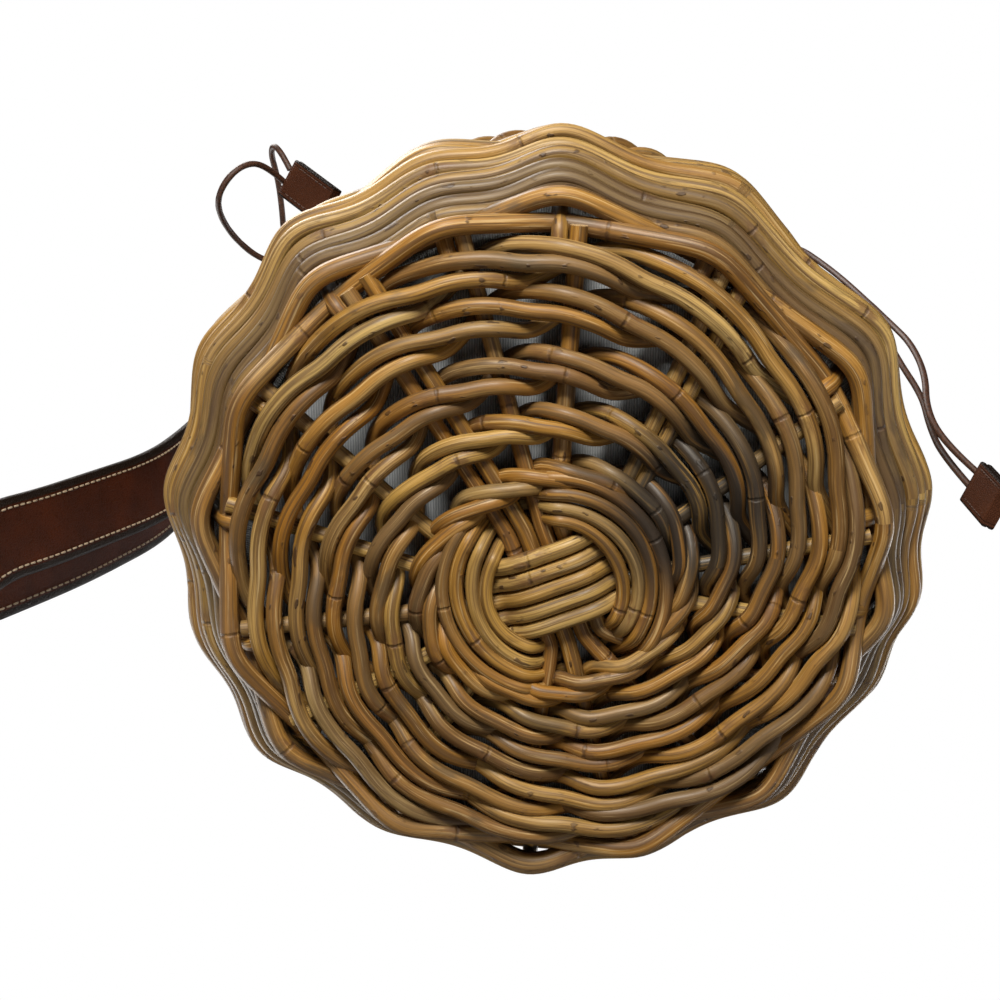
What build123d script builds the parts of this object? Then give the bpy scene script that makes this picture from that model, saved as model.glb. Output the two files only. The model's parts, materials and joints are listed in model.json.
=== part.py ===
from build123d import *
import math
import os

# Round cane bucket bag: woven base and wall, cloth drawstring liner, leather shoulder strap.
# Millimetres.  +Z goes up through the mouth, and the origin is where the bag's axis meets the
# surface that the base stands on.

os.makedirs("parts", exist_ok=True)

# ---------------------------------------------------------------- driving dimensions
cane = 5.4                  # spokes, stakes and base weavers
weaver = 5.2                # the thinner canes of the wall bands
touch = 0.12                # room between canes that lie side by side
over = 0.4                  # room where a band cane passes a stake
shave = 0.2                 # how much is shaved off the underside, so that the base stands flat

base_radius = 97.5          # where the stakes turn up
belly_radius = 118.2        # centre line of the stakes at the widest height
belly_low = 38.0            # heights of the belly: end of the flare, and where it starts to close in
belly_high = 60.0
rim_radius = 104.0          # centre line of the stakes at the rim
rim_height = 210.5          # underside of the rim border

stake_count = 16
stake_start = base_radius - 4       # inner ends of the stakes, beside the spokes
first_stake = -16.0         # degrees
stake_wander = (10.5, 7.5, -1.0, -4.5, -2.0, -1.5, -1.8, -1.5, -2.6, 0.0, -1.0, -3.5, 0.0, -1.5, -3.0, 5.5)
spoke_length = base_radius - 2.5    # the spokes are cut off at this radius

eye_x, eye_y = 2.0, 11.0    # the weaver's centre is a little off the middle of the base
centre_turn = -20.0         # direction of the five centre canes, degrees
centre_canes = 5
cross_canes = 4
tie_radius = 21.8           # innermost of the short canes that bind the crossing
tie_count = 4
tie_sweeps = {"left": (104.0, 212.0), "right": (-95.0, 35.0)}   # degrees, start and end

round_count = 7
first_round = 44.0
last_round = base_radius - 10.5

band_count = 6
canes_per_band = 6

cloth = 1.5                 # liner wall
liner_room = 0.5            # between the liner and the canes
collar_radius = rim_radius - 15     # outside of the liner's collar
collar_top = rim_height + 49.5
hem_height = 14.0
hem_depth = 4.6             # how far the drawstring channel stands out of the collar

cord = 2.5                  # leather drawstring
slot_width = 9.0            # the gap in the channel where the tails come out
slot_height = 9.5
left_slot = 209.0           # degrees
right_slot = -33.0

strap_width = 27.5
strap_thick = 3.2
strap_room = 2.0            # between the strap's loop and the rim border
strap_anchor_left = 173.2   # between two stakes, degrees
strap_anchor_right = -18.25
strap_turn_left = 170.0     # the upright planes that the strap's ends lie in
strap_turn_right = -14.3
hinge_x, hinge_z = -(rim_radius + 29), rim_height + 68.5
hinge_room = 1.5
rivet_spread = 8.0
rivet_head = 8.5
rivet_rise = 1.4
rivet_shank = 3.0

tab_length = 25.0
tab_width = 16.0
tab_thick = 5.0

# ---------------------------------------------------------------- shared geometry
spoke_level = cane / 2 + cane - shave + touch       # height of the spokes' centre lines
low_level = cane / 2 - shave                        # the canes under the spokes
high_level = spoke_level + cane + touch             # the canes above the spokes
flare = math.atan2(belly_radius - base_radius, belly_low - spoke_level)
crossing = (cane + weaver) / 2 + over               # from a stake's centre line to a weaver's
border_levels = (rim_height + cane / 2, rim_height + cane * 1.5 + touch)
border_cap = border_levels[1] + cane + touch
border_half = (cane + touch) + cane / 2             # half of the border's width


def polar(radius, degrees):
    angle = math.radians(degrees)
    return radius * math.cos(angle), radius * math.sin(angle)


def stake_angle(index):
    """Direction of one stake, degrees: evenly spaced, with the weaver's small wander."""
    return first_stake - index * 360 / stake_count + stake_wander[index % len(stake_wander)]


def stake_radius(height):
    """Radius of the stakes' centre lines at a height."""
    if height < belly_low:
        return base_radius + (height - spoke_level) * math.tan(flare)
    if height < belly_high:
        return belly_radius
    share = (height - belly_high) / (rim_height - belly_high)
    return belly_radius + (rim_radius - belly_radius) * min(share, 1.0)


def corner_radii(points, share=0.45, largest=400.0):
    """The largest bend that each corner of a route has room for."""
    radii = []
    for before, corner, after in zip(points, points[1:], points[2:]):
        run_in = Vector(*corner) - Vector(*before)
        run_out = Vector(*after) - Vector(*corner)
        turn = math.radians(run_in.get_angle(run_out))
        run = min(run_in.length, run_out.length)
        radii.append(min(largest, share * run / math.tan(turn / 2)))
    return radii


def export_piece(part, name):
    part.label = name
    export_step(part, f"parts/{name}.step")


# ---------------------------------------------------------------- base
stake_angles = [stake_angle(index) for index in range(stake_count)]
along = Vector(*polar(1, centre_turn), 0)
across = Vector(*polar(1, centre_turn + 90), 0)
eye = Vector(eye_x, eye_y, 0)
rise = cane * 0.95                                  # run in which a centre cane climbs one level
flat_half = tie_radius - (cane + touch) * 1.98      # half of the centre canes' low, flat stretch


def spoke_end(index, copy=0):
    """Cut end of a spoke: it lies beside its stake, with a doubled spoke one cane further."""
    end_x, end_y = polar(spoke_length, stake_angles[index])
    side_x, side_y = polar((cane + touch * 2) * (1 + copy * 1.3), stake_angles[index] + 90)
    return Vector(end_x + side_x, end_y + side_y, spoke_level)


def slath_cane(offset, near_end, far_end, dips):
    """Route of one cane of the centre: spoke, bundle, spoke."""
    pitch_line = eye + across * offset if dips else eye + along * offset
    heading = along if dips else across
    up = Vector(0, 0, spoke_level)
    if not dips:
        turn_out = (cane + touch) * centre_canes / 2 + cane / 2
        return [near_end, pitch_line - heading * turn_out + up, pitch_line + heading * turn_out + up, far_end]
    low = Vector(0, 0, low_level)
    return [
        near_end,
        pitch_line - heading * (flat_half + rise) + up,
        pitch_line - heading * flat_half + low,
        pitch_line + heading * flat_half + low,
        pitch_line + heading * (flat_half + rise) + up,
        far_end,
    ]


def round_section(path, diameter):
    """The round section of a cane or cord, at the start of its path."""
    with BuildSketch(Plane(origin=path @ 0, z_dir=path % 0)) as section:
        Circle(diameter / 2)
    return section.sketch


def route_path(points, radii, close=False):
    """Straight runs joined by tangent arcs."""
    with BuildLine() as route:
        FilletPolyline(*points, radius=radii, close=close)
    return route.wires()[0]


# The ends that the canes of each bundle run to, in order across the bundle.
right_ends = [spoke_end(2), spoke_end(2, 1), spoke_end(1), spoke_end(0), spoke_end(15)]
left_ends = [spoke_end(index) for index in (6, 7, 8, 9, 10)]
front_ends = [spoke_end(5), spoke_end(5, 1), spoke_end(4), spoke_end(3)]
back_ends = [spoke_end(index) for index in (11, 12, 13, 14)]

with BuildPart() as base_centre_canes:
    for number in range(centre_canes):
        offset = (number - (centre_canes - 1) / 2) * (cane + touch)
        route = slath_cane(offset, left_ends[number], right_ends[number], True)
        path = route_path(route, corner_radii(route, 0.4, 12.0))
        sweep(round_section(path, cane), path=path)
export_piece(base_centre_canes.part, "base_centre_canes")

with BuildPart() as base_cross_canes:
    for number in range(cross_canes):
        offset = (number - (cross_canes - 1) / 2) * (cane + touch)
        route = slath_cane(offset, front_ends[number], back_ends[number], False)
        path = route_path(route, corner_radii(route, 0.4, 12.0))
        sweep(round_section(path, cane), path=path)
export_piece(base_cross_canes.part, "base_cross_canes")

for side, (start_angle, end_angle) in tie_sweeps.items():
    with BuildPart() as base_ties:
        for number in range(tie_count):
            with BuildLine() as bend:
                CenterArc(
                    (eye_x, eye_y, low_level),
                    tie_radius + number * (cane + touch),
                    start_angle,
                    end_angle - start_angle,
                )
            sweep(round_section(bend.line, cane), path=bend.line)
        split(bisect_by=Plane.XY, keep=Keep.TOP)
    export_piece(base_ties.part, f"base_ties_{side}")


def round_place(number):
    """Radius and centre of one round of the base: the rounds drift from the eye to the middle."""
    share = number / round_count
    radius = first_round + (last_round - first_round) * number / (round_count - 1)
    return radius, eye_x * (1 - share), eye_y * (1 - share)


for number in range(round_count):
    radius, centre_x, centre_y = round_place(number)
    with BuildPart() as base_round:
        for level in (low_level, high_level):
            with Locations((centre_x, centre_y, level)):
                Torus(radius, cane / 2)
        split(bisect_by=Plane.XY, keep=Keep.TOP)
    export_piece(base_round.part, f"base_round_{number + 1}")

# ---------------------------------------------------------------- wall
closing = math.atan2(abs(belly_radius - rim_radius), rim_height - belly_high)   # how far the wall leans in
shallow_bend = 1.5 / math.tan(max(closing, 0.002) / 2)
with BuildPart() as wall_stakes:
    for angle in stake_angles:
        corners = [
            (stake_start, spoke_level),
            (base_radius, spoke_level),
            (belly_radius, belly_low),
            (belly_radius, belly_high),
            (rim_radius, rim_height),
            (rim_radius, border_cap - cane / 2 - touch),
        ]
        points = [Vector(*polar(radius, angle), height) for radius, height in corners]
        path = route_path(points, [cane, 9, max(40, shallow_bend), max(18, shallow_bend)])
        sweep(round_section(path, cane), path=path)
export_piece(wall_stakes.part, "wall_stakes")

foot_reach = cane + touch * 2
foot_tilt = (math.pi / 2 - flare) / 2
with BuildPart() as wall_foot_canes:
    lower_radius = base_radius + foot_reach * math.sin(foot_tilt)
    lower_height = spoke_level - foot_reach * math.cos(foot_tilt)
    upper_radius = base_radius + foot_reach / math.cos(flare)
    for radius, height in ((lower_radius, lower_height), (upper_radius, spoke_level)):
        with Locations((0, 0, height)):
            Torus(radius, cane / 2)
export_piece(wall_foot_canes.part, "wall_foot_canes")


def wave_points(radius, height, reach, phase):
    """Corners of a cane that runs outside one stake and inside the next.

    The corners stand past the stakes by as much as the bend at each one cuts off.
    """
    targets = []
    for index, angle in enumerate(stake_angles):
        outside = (index + phase) % 2 == 0
        targets.append((radius + reach if outside else radius - reach, angle))
    overshoot = [0.0] * len(targets)
    for _ in range(8):
        corners = [Vector(*polar(far + extra, angle), height) for (far, angle), extra in zip(targets, overshoot)]
        for index, corner in enumerate(corners):
            run_in = corner - corners[index - 1]
            run_out = corners[(index + 1) % len(corners)] - corner
            turn = math.radians(run_in.get_angle(run_out))
            points_out = corner.dot(run_in.normalized() - run_out.normalized())
            overshoot[index] = math.copysign(wave_bend * (1 / math.cos(turn / 2) - 1), points_out)
    return corners


wave_bend = 20.0                                    # bend of a band cane at each stake
pitch = weaver + touch
flare_room = 0.35                                   # more room between the canes where the wall flares
first_ring = spoke_level + cane / 2 + weaver / 2 + touch
ring_heights = []
height = first_ring
for _ in range(band_count * canes_per_band):
    ring_heights.append(height)
    height += (pitch + flare_room) * math.cos(flare) if height < belly_low - weaver else pitch
ring_heights = [height for height in ring_heights if height < rim_height - cane * 2]   # below the border

for band in range(band_count):
    with BuildPart() as wall_band:
        for height in ring_heights[band * canes_per_band:(band + 1) * canes_per_band]:
            lean = flare if height < belly_low else 0.0
            corners = wave_points(stake_radius(height), height, crossing / math.cos(lean), band + 1)
            ring = route_path(corners, wave_bend, close=True)
            sweep(round_section(ring, weaver), path=ring)
    export_piece(wall_band.part, f"wall_band_{band + 1}")

with BuildPart() as rim_border:
    for level in border_levels:
        for side in (-1, 1):
            with Locations((0, 0, level)):
                Torus(rim_radius + side * (cane + touch), cane / 2)
    with Locations((0, 0, border_cap)):
        Torus(rim_radius, cane / 2)
export_piece(rim_border.part, "rim_border")

# ---------------------------------------------------------------- liner
liner_floor = high_level + cane / 2 + touch * 2
inside = crossing + weaver / 2 + liner_room         # from a stake's centre line to the liner
inside_flare = crossing / math.cos(flare) + weaver / 2 / math.cos(flare) + liner_room
band_top = ring_heights[-1]
outer_profile = [
    (0, liner_floor),
    (stake_radius(liner_floor) - inside_flare, liner_floor),
    (belly_radius - inside_flare, belly_low),
    (belly_radius - inside, belly_low + 12),
    (belly_radius - inside, belly_high),
    (stake_radius(band_top) - inside, band_top - 6),
    (collar_radius, rim_height - 7),
    (collar_radius, collar_top),
]
inner_profile = [(max(radius - cloth, 0), max(height, liner_floor + cloth)) for radius, height in outer_profile]
with BuildPart() as liner_bag:
    with BuildSketch(Plane.XZ):
        with BuildLine():
            Polyline(*outer_profile, *reversed(inner_profile), close=True)
        make_face()
    revolve(axis=Axis.Z)
export_piece(liner_bag.part, "liner_bag")

channel_middle = collar_top - hem_height / 2
with BuildPart() as liner_hem:
    with BuildSketch(Plane.XZ):
        with Locations((collar_radius + touch + hem_depth / 2, channel_middle)):
            Rectangle(hem_depth, hem_height)
            Rectangle(hem_depth - 2 * cloth + cloth, hem_height - 2 * cloth, mode=Mode.SUBTRACT)
    revolve(axis=Axis.Z)
    for angle in (left_slot, right_slot):
        slot_x, slot_y = polar(collar_radius + hem_depth, angle)
        with Locations(Location((slot_x, slot_y, channel_middle), (0, 0, angle))):
            Box(cloth * 3, slot_width, slot_height, mode=Mode.SUBTRACT)
export_piece(liner_hem.part, "liner_hem")

string_radius = collar_radius + touch + hem_depth / 2
string_gap = cord / 2 + 0.6
for name, level in (("left_drawstring", channel_middle + string_gap), ("right_drawstring", channel_middle - string_gap)):
    with BuildPart() as drawstring:
        with Locations((0, 0, level)):
            Torus(string_radius, cord / 2)
    export_piece(drawstring.part, name)

# ---------------------------------------------------------------- drawstring tails
# Routes are points chosen one by one from the middle of each slot: out of it, over the rim, and down
# outside the wall.
slots = {
    "left": Vector(*polar(collar_radius, left_slot), channel_middle),
    "right": Vector(*polar(collar_radius, right_slot), channel_middle),
}
tail_routes = {
    "left_tail_a": [
        (-6.2, -3.4, -2.5), (-25.2, -7.9, -4), (-42.2, -12.9, -12), (-51.2, -22.9, -22),
        (-55.2, -33.9, -34), (-54.2, -42.9, -43), (-48.2, -51.9, -44), (-41.2, -55.9, -38),
        (-35.2, -52.9, -30), (-30.2, -46.9, -24),
    ],
    "left_tail_b": [
        (-4, -7.2, 3), (-20.2, -13.9, 1), (-34.2, -20.9, -2), (-34.2, -33.9, -4), (-35.2, -46.9, -6),
        (-37.2, -56.9, -9), (-35.2, -60.9, -14), (-31.2, -57.9, -19), (-27.7, -51.4, -21.5),
    ],
    "right_tail_a": [
        (5.9, -5.5, 3), (20.4, -13.5, 4), (32.4, -11.5, -2), (39.4, -7.5, -16), (45.4, -3.5, -31),
        (51.4, 1.5, -51), (60.4, 9.5, -72), (64.4, 13.5, -91), (66.4, 21.5, -110), (63.4, 30.5, -129),
        (67.4, 39.5, -145), (77.4, 47.5, -157),
    ],
    "right_tail_b": [
        (7.9, -2, -2.5), (22.4, -7.5, -6), (36.4, -3.5, -12), (47.4, 3.5, -26), (55.4, 6.5, -45),
        (58.4, 13.5, -64), (61.4, 21.5, -83), (67.4, 31.5, -102), (67.4, 39.5, -118), (69.4, 46.5, -133),
        (74.4, 53, -153),
    ],
}
for name, steps in tail_routes.items():
    route = [slots[name.split("_")[0]] + Vector(*step) for step in steps]
    radii = corner_radii(route)
    print(name, "bends", [round(radius, 1) for radius in radii])
    with BuildPart() as tail:
        path = route_path(route, radii)
        sweep(round_section(path, cord), path=path)
    print(name, "length", round(tail.part.volume / (math.pi * cord**2 / 4), 1))
    export_piece(tail.part, name)

# Each tab is a folded strip of leather: its cord end from the slot, the way it points, its width's way.
tab_places = {
    "left_tab": ((-28.5, -48.9, -23.5), (18, 10.5, -16), (-8, 14, 0)),
    "right_tab": ((76.4, 50.7, -155.8), (2, 2, -24), (-5, 11, 0)),
}
for name, (step, points_to, width_way) in tab_places.items():
    start = slots[name.split("_")[0]] + Vector(*step)
    length_way = Vector(*points_to).normalized()
    face_way = Vector(*width_way).cross(length_way).normalized()
    side_way = length_way.cross(face_way)
    tab_plane = Plane(origin=start + length_way * (cord * 0.7), x_dir=side_way, z_dir=length_way)
    with BuildPart() as tab:
        with BuildSketch(tab_plane):
            Rectangle(tab_width, tab_thick)
        extrude(amount=tab_length)
        fillet(tab.edges().filter_by(lambda edge: edge.length > tab_length * 0.9), 1.2)
    export_piece(tab.part, name)

# ---------------------------------------------------------------- strap
half = strap_thick / 2
loop_reach = border_half + strap_room + half        # from the border's middle to the strap's middle
loop_bottom = rim_height - 0.5 - half - touch * 10
border_top = border_cap + cane / 2
joined_out = 5.7                                    # the two layers above the rim
joined_in = joined_out - strap_thick - 0.1
joined_low = border_top + 12
joined_end = border_top + 28
rivet_level = border_top + 20.5
crest_in = hinge_z - 9                              # the left end lies under the other
mouth = rim_radius - hinge_x - 2                     # what the right end spans over the mouth
mouth_sag = 13.0


def strap_plane(anchor, turn):
    """Upright plane of one strap end: x runs outward from the border's middle, y is height."""
    origin_x, origin_y = polar(rim_radius, anchor)
    outward = Vector(*polar(1, turn), 0)
    return Plane(origin=(origin_x, origin_y, 0), x_dir=outward, z_dir=outward.cross(Vector(0, 0, 1)))


def border_wrap():
    """The stretch of either end that wraps the rim border, from its riveted end to the joint's top."""
    return [
        (joined_in, joined_end), (joined_in, joined_low), (-loop_reach, border_top + 1),
        (-loop_reach, loop_bottom), (loop_reach, loop_bottom), (loop_reach, border_top + 1),
        (joined_out, joined_low),
    ]


def strap_path(plane, points):
    """Middle line of a strap along a route drawn in an upright plane.

    Its bends are as large as the runs allow, except close round the rim border.
    """
    places = [plane.from_local_coords(Vector(along_plane, height, 0)) for along_plane, height in points]
    radii = corner_radii(places, 0.42, 60.0)
    for index, (reach, height) in enumerate(points[1:-1]):
        if abs(reach) <= loop_reach and loop_bottom <= height <= joined_low:
            radii[index] = min(radii[index], cane / 2 + strap_room + half)
    return route_path(places, radii)


def strap_section(path, plane):
    """The flat section of the strap, its width across the plane of its route."""
    with BuildSketch(Plane(origin=path @ 0, x_dir=plane.z_dir, z_dir=path % 0)) as section:
        Rectangle(strap_width, strap_thick)
    return section.sketch


strap_ends = {
    "left": (
        strap_plane(strap_anchor_left, strap_turn_left),
        [(joined_out, crest_in), (25.4, crest_in)],
    ),
    "right": (
        strap_plane(strap_anchor_right, strap_turn_right),
        [
            (joined_out, hinge_z + 1), (-mouth * 0.1915, hinge_z - mouth_sag / 2), (-mouth * 0.468, hinge_z - mouth_sag),
            (-mouth * 0.766, hinge_z - mouth_sag * 0.7), (17 - mouth, hinge_z), (-mouth, hinge_z),
        ],
    ),
}
for side, (plane, onward) in strap_ends.items():
    with BuildPart() as strap_end:
        path = strap_path(plane, border_wrap() + onward)
        sweep(strap_section(path, plane), path=path)
        for spread in (-rivet_spread, rivet_spread):
            hole = plane.from_local_coords(Vector(joined_out, rivet_level, spread))
            with BuildSketch(Plane(origin=hole, z_dir=plane.x_dir)):
                Circle(rivet_shank / 2 + touch)
            extrude(amount=strap_thick * 2.5, both=True, mode=Mode.SUBTRACT)
    export_piece(strap_end.part, f"strap_{side}_end")

    with BuildPart() as rivets:
        for spread in (-rivet_spread, rivet_spread):
            middle = plane.from_local_coords(Vector((joined_out + joined_in) / 2, rivet_level, spread))
            reach = strap_thick + 0.05 + touch
            with BuildSketch(Plane(origin=middle, z_dir=plane.x_dir)):
                Circle(rivet_shank / 2)
            extrude(amount=reach, both=True)
            for way in (-1, 1):
                seat = middle + plane.x_dir * (reach * way)
                with BuildSketch(Plane(origin=seat, z_dir=plane.x_dir * way)):
                    Circle(rivet_head / 2)
                extrude(amount=rivet_rise, taper=25)
    export_piece(rivets.part, f"{side}_rivets")

loop_plane = Plane(origin=(0, 21, 0), x_dir=(-1, 0, 0), z_dir=(0, 1, 0))
loop_start = -hinge_x + hinge_room
loop_low = 5.0                                      # the strap's lowest middle line, near the floor
loop_route = [
    (loop_start, hinge_z), (loop_start + 18.5, hinge_z), (loop_start + 21.5, hinge_z * 0.645),
    (loop_start + 41.5, hinge_z * 0.423), (loop_start + 59.5, hinge_z * 0.258),
    (loop_start + 77.5, hinge_z * 0.115), (loop_start + 69.5, loop_low), (loop_start + 54.5, loop_low),
    (loop_start + 48.5, hinge_z * 0.172), (loop_start + 38.5, hinge_z * 0.28),
    (loop_start + 15.5, hinge_z * 0.538), (loop_start + 10, hinge_z * 0.717),
    (loop_start + 9.5, crest_in), (loop_start, crest_in),
]
with BuildPart() as strap_loop:
    path = strap_path(loop_plane, loop_route)
    sweep(strap_section(path, loop_plane), path=path)
export_piece(strap_loop.part, "strap_loop")
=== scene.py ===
# %% [markdown]
# # A woven cane bucket bag
# The bag is a round basket of natural cane on a twined base, with a cloth drawstring liner inside and
# a stitched leather strap thrown over one side.  The CAD frame gives every size and place; this lesson
# dresses it.  Lengths are metres, and the origin is in the middle of the base.

# %% Load the frame
import json
import math
import random

import bpy
import numpy as np
from mathutils import Matrix, Vector

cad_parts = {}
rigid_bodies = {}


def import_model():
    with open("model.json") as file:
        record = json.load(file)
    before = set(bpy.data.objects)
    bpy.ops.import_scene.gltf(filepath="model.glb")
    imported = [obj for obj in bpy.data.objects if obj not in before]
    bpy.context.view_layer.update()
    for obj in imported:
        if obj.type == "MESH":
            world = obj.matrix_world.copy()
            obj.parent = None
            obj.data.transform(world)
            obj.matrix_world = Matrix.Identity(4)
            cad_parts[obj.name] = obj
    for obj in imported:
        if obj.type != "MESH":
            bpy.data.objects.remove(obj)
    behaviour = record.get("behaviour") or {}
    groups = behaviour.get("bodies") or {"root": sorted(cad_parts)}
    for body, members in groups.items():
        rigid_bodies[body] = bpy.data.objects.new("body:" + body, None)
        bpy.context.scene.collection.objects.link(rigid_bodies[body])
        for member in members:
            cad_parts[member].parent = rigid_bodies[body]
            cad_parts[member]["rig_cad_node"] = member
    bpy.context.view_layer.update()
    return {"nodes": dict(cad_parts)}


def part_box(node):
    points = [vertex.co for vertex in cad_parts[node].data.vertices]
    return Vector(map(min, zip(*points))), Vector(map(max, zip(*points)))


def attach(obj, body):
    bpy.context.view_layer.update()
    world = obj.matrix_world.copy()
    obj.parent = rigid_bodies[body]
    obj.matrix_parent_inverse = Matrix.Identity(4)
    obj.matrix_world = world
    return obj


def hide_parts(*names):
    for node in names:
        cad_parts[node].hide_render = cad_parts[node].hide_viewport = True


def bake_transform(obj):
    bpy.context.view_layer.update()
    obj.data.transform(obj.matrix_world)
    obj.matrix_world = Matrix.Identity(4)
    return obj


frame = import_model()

MM = 0.001
print("frame holds", len(frame["nodes"]), "nodes")

# %% [markdown]
# ## The camera
# The bag is looked at from below, seventeen degrees off its axis, from a little more than half a metre.
# From so near, the wall is seen to widen all round the base.  The camera's three directions are given
# outright, because aiming it at a point would leave its turn about the view undecided.

# %% Camera
TILT = math.radians(17)
DISTANCE = 0.55
SENSOR, LENS_PER_SENSOR = 36, 1.818
SHIFT = (-0.048, 0.056)                          # the framing, in widths of the view


def look_from_below():
    """The camera, aimed along the bag's axis but tilted, with a small shift for the framing."""
    sin_t, cos_t = math.sin(TILT), math.cos(TILT)
    right = Vector((1, 0, 0))
    up = Vector((0, -cos_t, sin_t))
    back = right.cross(up)
    data = bpy.data.cameras.new("view_from_below")
    data.sensor_width = SENSOR
    data.lens = SENSOR * LENS_PER_SENSOR
    data.shift_x, data.shift_y = SHIFT
    data.clip_start, data.clip_end = 0.01, 50
    camera = bpy.data.objects.new("view_from_below", data)
    turn = Matrix((right, up, back)).transposed().to_4x4()
    camera.matrix_world = Matrix.Translation(back * DISTANCE) @ turn
    bpy.context.collection.objects.link(camera)
    bpy.context.scene.camera = camera
    return camera


camera = look_from_below()
print("camera at", [round(c, 3) for c in camera.matrix_world.translation])

# %% [markdown]
# ## Shader maths as Python
# A socket is wrapped in a small class, so that a sum of two values is written with a plus sign and adds
# its Math node.  Colours and vectors go through Mix and Vector Math nodes instead.

# %% Socket class
class Value:
    """One output socket, with arithmetic."""

    def __init__(self, shader, socket):
        self.shader, self.socket = shader, socket

    def _math(self, operation, *others, swap=False):
        sockets = others + (self,) if swap else (self,) + others
        return self.shader.node("ShaderNodeMath", {"operation": operation}, sockets)

    def __add__(self, other): return self._math("ADD", other)
    def __radd__(self, other): return self._math("ADD", other)
    def __sub__(self, other): return self._math("SUBTRACT", other)
    def __rsub__(self, other): return self._math("SUBTRACT", other, swap=True)
    def __mul__(self, other): return self._math("MULTIPLY", other)
    def __rmul__(self, other): return self._math("MULTIPLY", other)
    def __truediv__(self, other): return self._math("DIVIDE", other)
    def fract(self): return self._math("FRACT")
    def size(self): return self._math("ABSOLUTE")
    def sine(self): return self._math("SINE")

    def step(self, low, high):
        """0 below low, 1 above high, smooth between."""
        sockets = {"Value": self, "From Min": low, "From Max": high}
        return self.shader.node("ShaderNodeMapRange", {"interpolation_type": "SMOOTHSTEP"}, sockets)


class Shader:
    """A material's node tree: one method adds any node, and a few short ones name common uses."""

    def __init__(self, name, slot):
        self.material = bpy.data.materials.new(name)
        self.material.use_nodes = True
        self.tree = self.material.node_tree
        self.tree.nodes.clear()
        self.surface = self.tree.nodes.new("ShaderNodeBsdfPrincipled")
        output = self.tree.nodes.new("ShaderNodeOutputMaterial")
        self.tree.links.new(self.surface.outputs[0], output.inputs[0])
        self.slot = slot

    def node(self, kind, settings=None, sockets=None, output=0):
        """Any node: its settings first, then the values or links of its sockets."""
        node = self.tree.nodes.new(kind)
        for key, value in (settings or {}).items():
            if key == "stops":
                ramp = node.color_ramp
                while len(ramp.elements) < len(value):
                    ramp.elements.new(1.0)
                for element, (place, colour) in zip(ramp.elements, value):
                    element.position = place
                    element.color = (*colour, 1)
            else:
                setattr(node, key, value)
        pairs = sockets.items() if isinstance(sockets, dict) else enumerate(sockets or ())
        for key, value in pairs:
            self.feed(node.inputs[key], value)
        return Value(self, node.outputs[output])

    def feed(self, socket, value):
        if isinstance(value, Value):
            self.tree.links.new(value.socket, socket)
        else:
            socket.default_value = value

    def attribute(self, name, output="Vector"):
        return self.node("ShaderNodeAttribute", {"attribute_name": name}, output=output)

    def parts(self, vector):
        node = self.tree.nodes.new("ShaderNodeSeparateXYZ")
        self.feed(node.inputs[0], vector)
        return [Value(self, out) for out in node.outputs]

    def scaled(self, vector, factors):
        return self.node("ShaderNodeVectorMath", {"operation": "MULTIPLY"}, (vector, factors))

    def noise(self, vector, scale, detail=3.0, rough=0.55):
        sockets = {"Vector": vector, "Scale": scale, "Detail": detail, "Roughness": rough}
        return self.node("ShaderNodeTexNoise", None, sockets)

    def ramp(self, factor, stops):
        return self.node("ShaderNodeValToRGB", {"stops": stops}, {"Fac": factor})

    def mix(self, factor, first, second):
        node = self.tree.nodes.new("ShaderNodeMix")
        node.data_type = "RGBA"
        for key, value in ((0, factor), (6, first), (7, second)):
            if not isinstance(value, Value) and key:
                value = (*value, 1)
            self.feed(node.inputs[key], value)
        return Value(self, node.outputs[2])

    def bump(self, height, distance):
        return self.node("ShaderNodeBump", None, {"Height": height, "Distance": distance, "Strength": 1.0})

    def finish(self, **sockets):
        for key, value in sockets.items():
            self.feed(self.surface.inputs[key.replace("_", " ")], value)
        return self


print("shader helpers ready")

# %% [markdown]
# ## The cane's skin
# Round cane keeps the vine's own skin: satin, straw to golden brown, streaked along its length, with a
# dark ring wherever a leaf grew, small dark specks, and pale pith where it is cut.  A flat colour would
# look like plastic, and a wood grain laid through space would cut across the bends.  So each tube carries
# its own coordinates along and around the cane, and the streaks follow every bend.

# %% Cane finish
STAIN_PLACE = (0.045, -0.014, 0.004)      # canes of one coil came from a dark, weathered vine


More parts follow.
